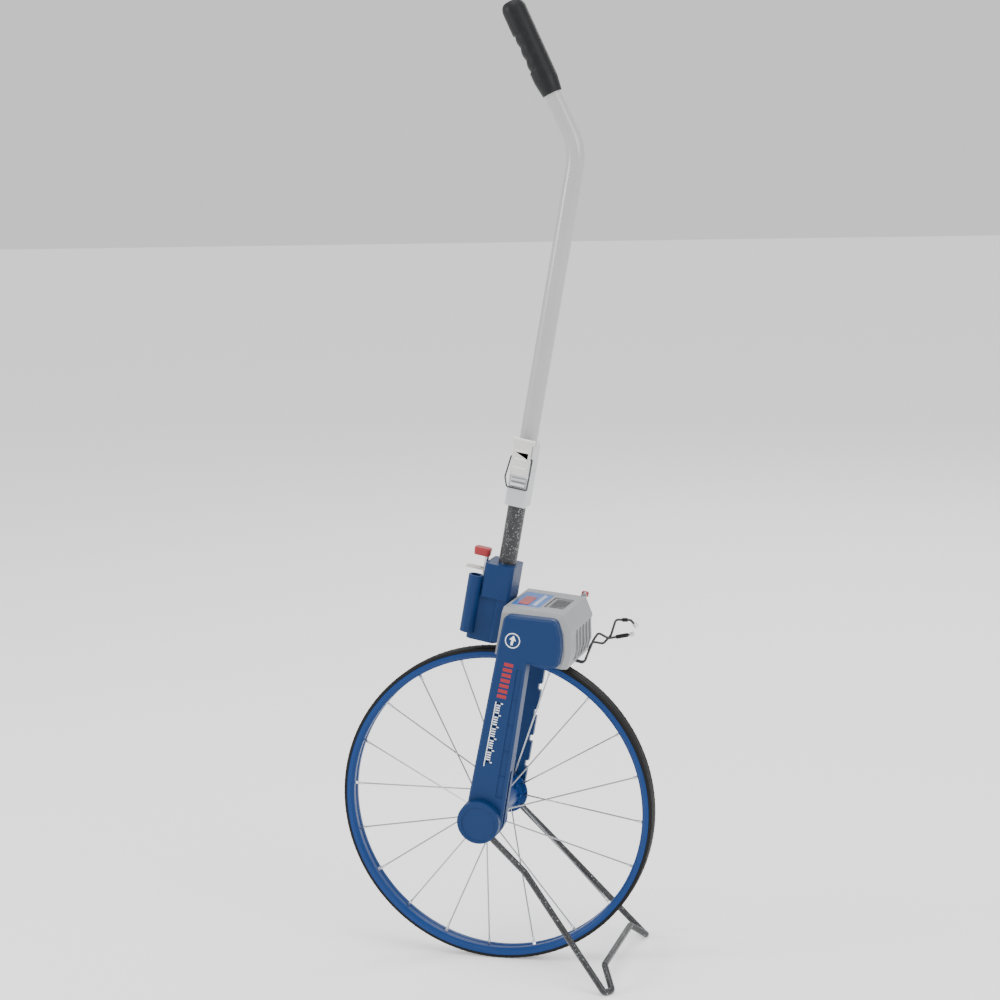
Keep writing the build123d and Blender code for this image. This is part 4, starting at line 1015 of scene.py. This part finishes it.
@dataclass
class Column:
    """The rear socket with its holder, the brake, and the lower tube of the mast."""

    frame: Frame
    repeat: Repeat
    spring_radius: float = 3.7
    spring_wire: float = 0.55
    spring_turns: float = 9.0

    def build(self) -> None:
        """Build and dress the column."""
        frame = self.frame
        frame.soften("column_socket", Finish.SHELL_BLUE, 1.2)
        frame.soften("lower_tube", Finish.TUBE_BLACK, 0.4)
        frame.soften("brake_rod", Finish.STEEL_PLAIN, 0.3)
        frame.soften("brake_shoe", Finish.BELT_RUBBER, 0.8)
        frame.soften("brake_knob", Finish.KNOB_RED, 0.6)
        frame.soften("brake_catch", Finish.LEVER_PALE, 0.3)
        frame.soften("catch_bracket", Finish.ZINC_PLATE, 0.2)
        self.spring()

    def spring(self) -> None:
        """The brake's coil spring, in place of its plain sleeve."""
        mast = self.frame.mast
        low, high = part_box("brake_spring")
        middle = (low + high) / 2
        length = (high - low).z / math.cos(mast.lean) - 2 * self.spring_radius * MM * math.tan(mast.lean)
        steps = int(self.spring_turns * 16)
        line = []
        for i in range(steps + 1):
            angle = 2 * math.pi * self.spring_turns * i / steps
            rise = (i / steps - 0.5) * (length - 2 * MM)
            out = mast.across * math.cos(angle) + Vector((0, math.sin(angle), 0))
            line.append(middle + mast.along * rise + out * self.spring_radius * MM)
        bm = bmesh.new()
        tube_along(bm, line, lambda i: self.spring_wire, 8)
        coil = finished(from_bmesh("brake_coil", bm, Finish.SPOKE_STEEL), "frame", "spoke_steel", "brake_spring")
        joint = next(j for j in self.frame.record["behaviour"]["joints"] if j["name"] == "brake_slide")
        travel = joint["range_m"][1]
        foot = middle - mast.along * length / 2
        1 - travel / length
        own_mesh(coil)


@dataclass
class FoldingJoint:
    """The alloy blocks that fold, and the latch across them."""

    frame: Frame

    def build(self) -> None:
        """Dress the joint and its latch."""
        frame = self.frame
        frame.soften("joint_lower", Finish.JOINT_ALLOY, 0.8)
        frame.soften("joint_upper", Finish.JOINT_ALLOY, 0.8)
        frame.soften("hinge_pin", Finish.ZINC_PLATE, 0.3)
        frame.soften("latch_pin", Finish.ZINC_PLATE, 0.2)
        frame.soften("latch_catch", Finish.ZINC_PLATE, 0.25)
        frame.soften("latch_lever", Finish.LEVER_STEEL, 0.35)
        frame.soften("latch_bail", Finish.WIRE_DARK, 0.0)


@dataclass
class Handle:
    """The bent tube and the grip with finger hollows."""

    frame: Frame
    turn: float = math.radians(35.3)
    length: float = 118.0
    across_radius: float = 15.4
    along_radius: float = 14.6
    notches: tuple[float, ...] = (0.27, 0.405, 0.54, 0.675)
    hollow: float = 2.6

    def build(self) -> None:
        """Build and dress the handle."""
        self.frame.soften("upper_tube", Finish.TUBE_GREY, 0.4)
        self.grip()

    def grip(self) -> None:
        """A moulded grip: a tapered foot, finger hollows underneath, and a domed end."""
        mast = self.frame.mast
        way = mast.along * math.cos(self.turn) - mast.across * math.sin(self.turn)
        top = mast.across * math.cos(self.turn) + mast.along * math.sin(self.turn)
        vertices = [v.co for v in self.frame.nodes["grip"].data.vertices]
        low = min(p.dot(way) for p in vertices)
        middle = sum(vertices, Vector()) / len(vertices)
        middle.y = 0
        ends = [max(p.dot(top) for p in vertices), min(p.dot(top) for p in vertices)]
        base = middle + way * (low - middle.dot(way)) + top * (sum(ends) / 2 - middle.dot(top))
        rows, sides = 150, 72
        bm = bmesh.new()
        rings = []
        for i in range(rows + 1):
            t = i / rows
            ring = []
            for k in range(sides):
                angle = 2 * math.pi * k / sides
                under = max(0.0, -math.cos(angle))
                reach = self.profile(t, under)
                out = (top * math.cos(angle) * self.along_radius
                       + Vector((0, 1, 0)) * math.sin(angle) * self.across_radius)
                ring.append(bm.verts.new(base + way * self.rise(t) * MM + out * reach * MM))
            rings.append(ring)
        for one, two in zip(rings, rings[1:]):
            for k in range(sides):
                after = (k + 1) % sides
                bm.faces.new((one[k], one[after], two[after], two[k]))
        bm.faces.new(rings[-1])
        bore = []
        for depth in (0.0, 30.0):
            bore.append([bm.verts.new(base + way * depth * MM + (top * math.cos(2 * math.pi * k / sides)
                                      + Vector((0, 1, 0)) * math.sin(2 * math.pi * k / sides)) * 11.15 * MM)
                         for k in range(sides)])
        for one, two in ((rings[0], bore[0]), (bore[0], bore[1])):
            for k in range(sides):
                after = (k + 1) % sides
                bm.faces.new((one[k], one[after], two[after], two[k]))
        bm.faces.new(bore[1])
        finished(from_bmesh("grip_moulded", bm, Finish.GRIP_RUBBER, 60), "handle", "grip_foam", "grip")

    def rise(self, t: float) -> float:
        """How far up the grip row t stands, in millimetres, closer together at the domed end."""
        return self.length * (t if t < 0.9 else 0.9 + 0.1 * math.sin((t - 0.9) / 0.1 * math.pi / 2))

    def profile(self, t: float, under: float) -> float:
        """The share of the full radius at row t.

        Args:
            t: The row, from the foot at 0 to the end at 1.
            under: 1 on the underside, 0 from the sides up.

        Returns:
            The share, 1 where the grip is fullest.
        """
        foot = 0.80 + 0.20 * min(1.0, t / 0.16) ** 0.8
        dome = 1.0 if t < 0.9 else 0.55 + 0.45 * math.cos((t - 0.9) / 0.1 * math.pi / 2)
        edge = 0.0
        first, last = self.notches[0], self.notches[-1]
        if first < t < last:
            pitch = (last - first) / (len(self.notches) - 1)
            edge = 1.0 - abs(math.sin(math.pi * (t - first) / pitch))
            edge = 0.35 + 0.65 * edge
            edge *= min(1.0, (t - first) / 0.012, (last - t) / 0.012)
        return foot * dome - edge * under ** 1.3 * self.hollow / self.along_radius


@dataclass
class Stand:
    """The wire stand about the axle, and the clip that holds it folded."""

    frame: Frame

    def build(self) -> None:
        """Dress the stand and the clip."""
        frame = self.frame
        frame.soften("stand", Finish.STAND_BLACK, 0.0, 40)
        frame.soften("wire_clip", Finish.WIRE_DARK, 0.0, 40)
        frame.soften("clip_sleeves", Finish.PAD_BLACK, 0.3)
        frame.soften("clip_tips", Finish.ZINC_PLATE, 0.5)
        frame.soften("clip_bracket", Finish.PAD_BLACK, 0.5)


# ---------------------------------------------------------------- the studio
@dataclass
class Studio:
    """The camera, the soft lights, and the pale floor."""

    azimuth: float = 15.90
    elevation: float = 8.90
    roll: float = -1.5225
    lens: float = 82.1
    eye: tuple[float, float, float] = (765.5, -2639.7, 1010.3)
    floor_size: float = 40.0
    sky: float = 0.88
    aim: tuple[float, float, float] = (0.05, 0.0, 0.35)
    lamps: tuple[tuple[str, tuple[float, float, float], float, float], ...] = (
        ("key", (3.0, -1.5, 2.0), 2.0, 60.0),
        ("left", (-2.6, -1.4, 1.5), 1.0, 45.0),
        ("back", (0.4, 3.0, 2.8), 2.4, 50.0),
        ("top", (0.0, -0.6, 3.4), 2.6, 60.0),
    )

    def build(self) -> None:
        """Set the whole scene round the object."""
        self.camera()
        self.floor()
        self.lights()

    def camera(self) -> None:
        """The camera, turned about its own line of sight by the roll."""
        az, el, roll = (math.radians(a) for a in (self.azimuth, self.elevation, self.roll))
        sight = Vector((-math.sin(az) * math.cos(el), math.cos(az) * math.cos(el), -math.sin(el)))
        right = Vector((math.cos(az), math.sin(az), 0))
        up = right.cross(sight)
        rolled_right = right * math.cos(roll) + up * math.sin(roll)
        rolled_up = up * math.cos(roll) - right * math.sin(roll)
        camera = bpy.data.objects.new("camera", bpy.data.cameras.new("camera"))
        camera.data.lens = self.lens
        camera.data.sensor_width = 36.0
        turned = Matrix((rolled_right, rolled_up, -sight)).transposed().to_4x4()
        camera.matrix_world = Matrix.Translation(Vector(self.eye) * MM) @ turned
        bpy.context.scene.collection.objects.link(camera)
        bpy.context.scene.camera = camera

    def floor(self) -> None:
        """A wide pale floor."""
        bm = bmesh.new()
        bmesh.ops.create_grid(bm, x_segments=1, y_segments=1, size=self.floor_size / 2)
        mesh = bpy.data.meshes.new("floor")
        bm.to_mesh(mesh)
        bm.free()
        paint = Paint("floor_pale", base_color=(0.90, 0.90, 0.90, 1.0), roughness=0.9, specular_ior_level=0.1,
                      emission_color=(1.0, 1.0, 1.0, 1.0), emission_strength=0.35)
        mesh.materials.append(paint.material)
        new_piece("floor", mesh)

    def lights(self) -> None:
        """A soft even sky, a large key from the right, a small light on the left, and one behind and above."""
        world = bpy.data.worlds.new("sky")
        world.use_nodes = True
        world.node_tree.nodes["Background"].inputs["Color"].default_value = (1.0, 1.0, 1.0, 1.0)
        world.node_tree.nodes["Background"].inputs["Strength"].default_value = self.sky
        bpy.context.scene.world = world
        aim = Vector(self.aim)
        for name, place, size, power in self.lamps:
            light = bpy.data.objects.new(name, bpy.data.lights.new(name, "AREA"))
            light.data.shape = "DISK"
            light.data.size = size
            light.data.energy = power
            light.location = Vector(place)
            light.rotation_euler = (aim - Vector(place)).to_track_quat("-Z", "Y").to_euler()
            bpy.context.scene.collection.objects.link(light)


def main() -> None:
    """Load the frame, build every sub-assembly around it, and set the studio."""
    logging.basicConfig(level=logging.INFO, format="%(message)s")
    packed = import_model()
    frame = Frame(packed["nodes"], packed["record"], Mast.from_frame(packed["joints"]))
    repeat = Repeat()
    for assembly in (Wheel(frame, repeat), Legs(frame, repeat), Counter(frame, repeat), Column(frame, repeat),
                     FoldingJoint(frame), Handle(frame), Stand(frame), Studio()):
        assembly.build()
        log.info("%s is built", type(assembly).__name__)


if __name__ == "__main__":
    main()
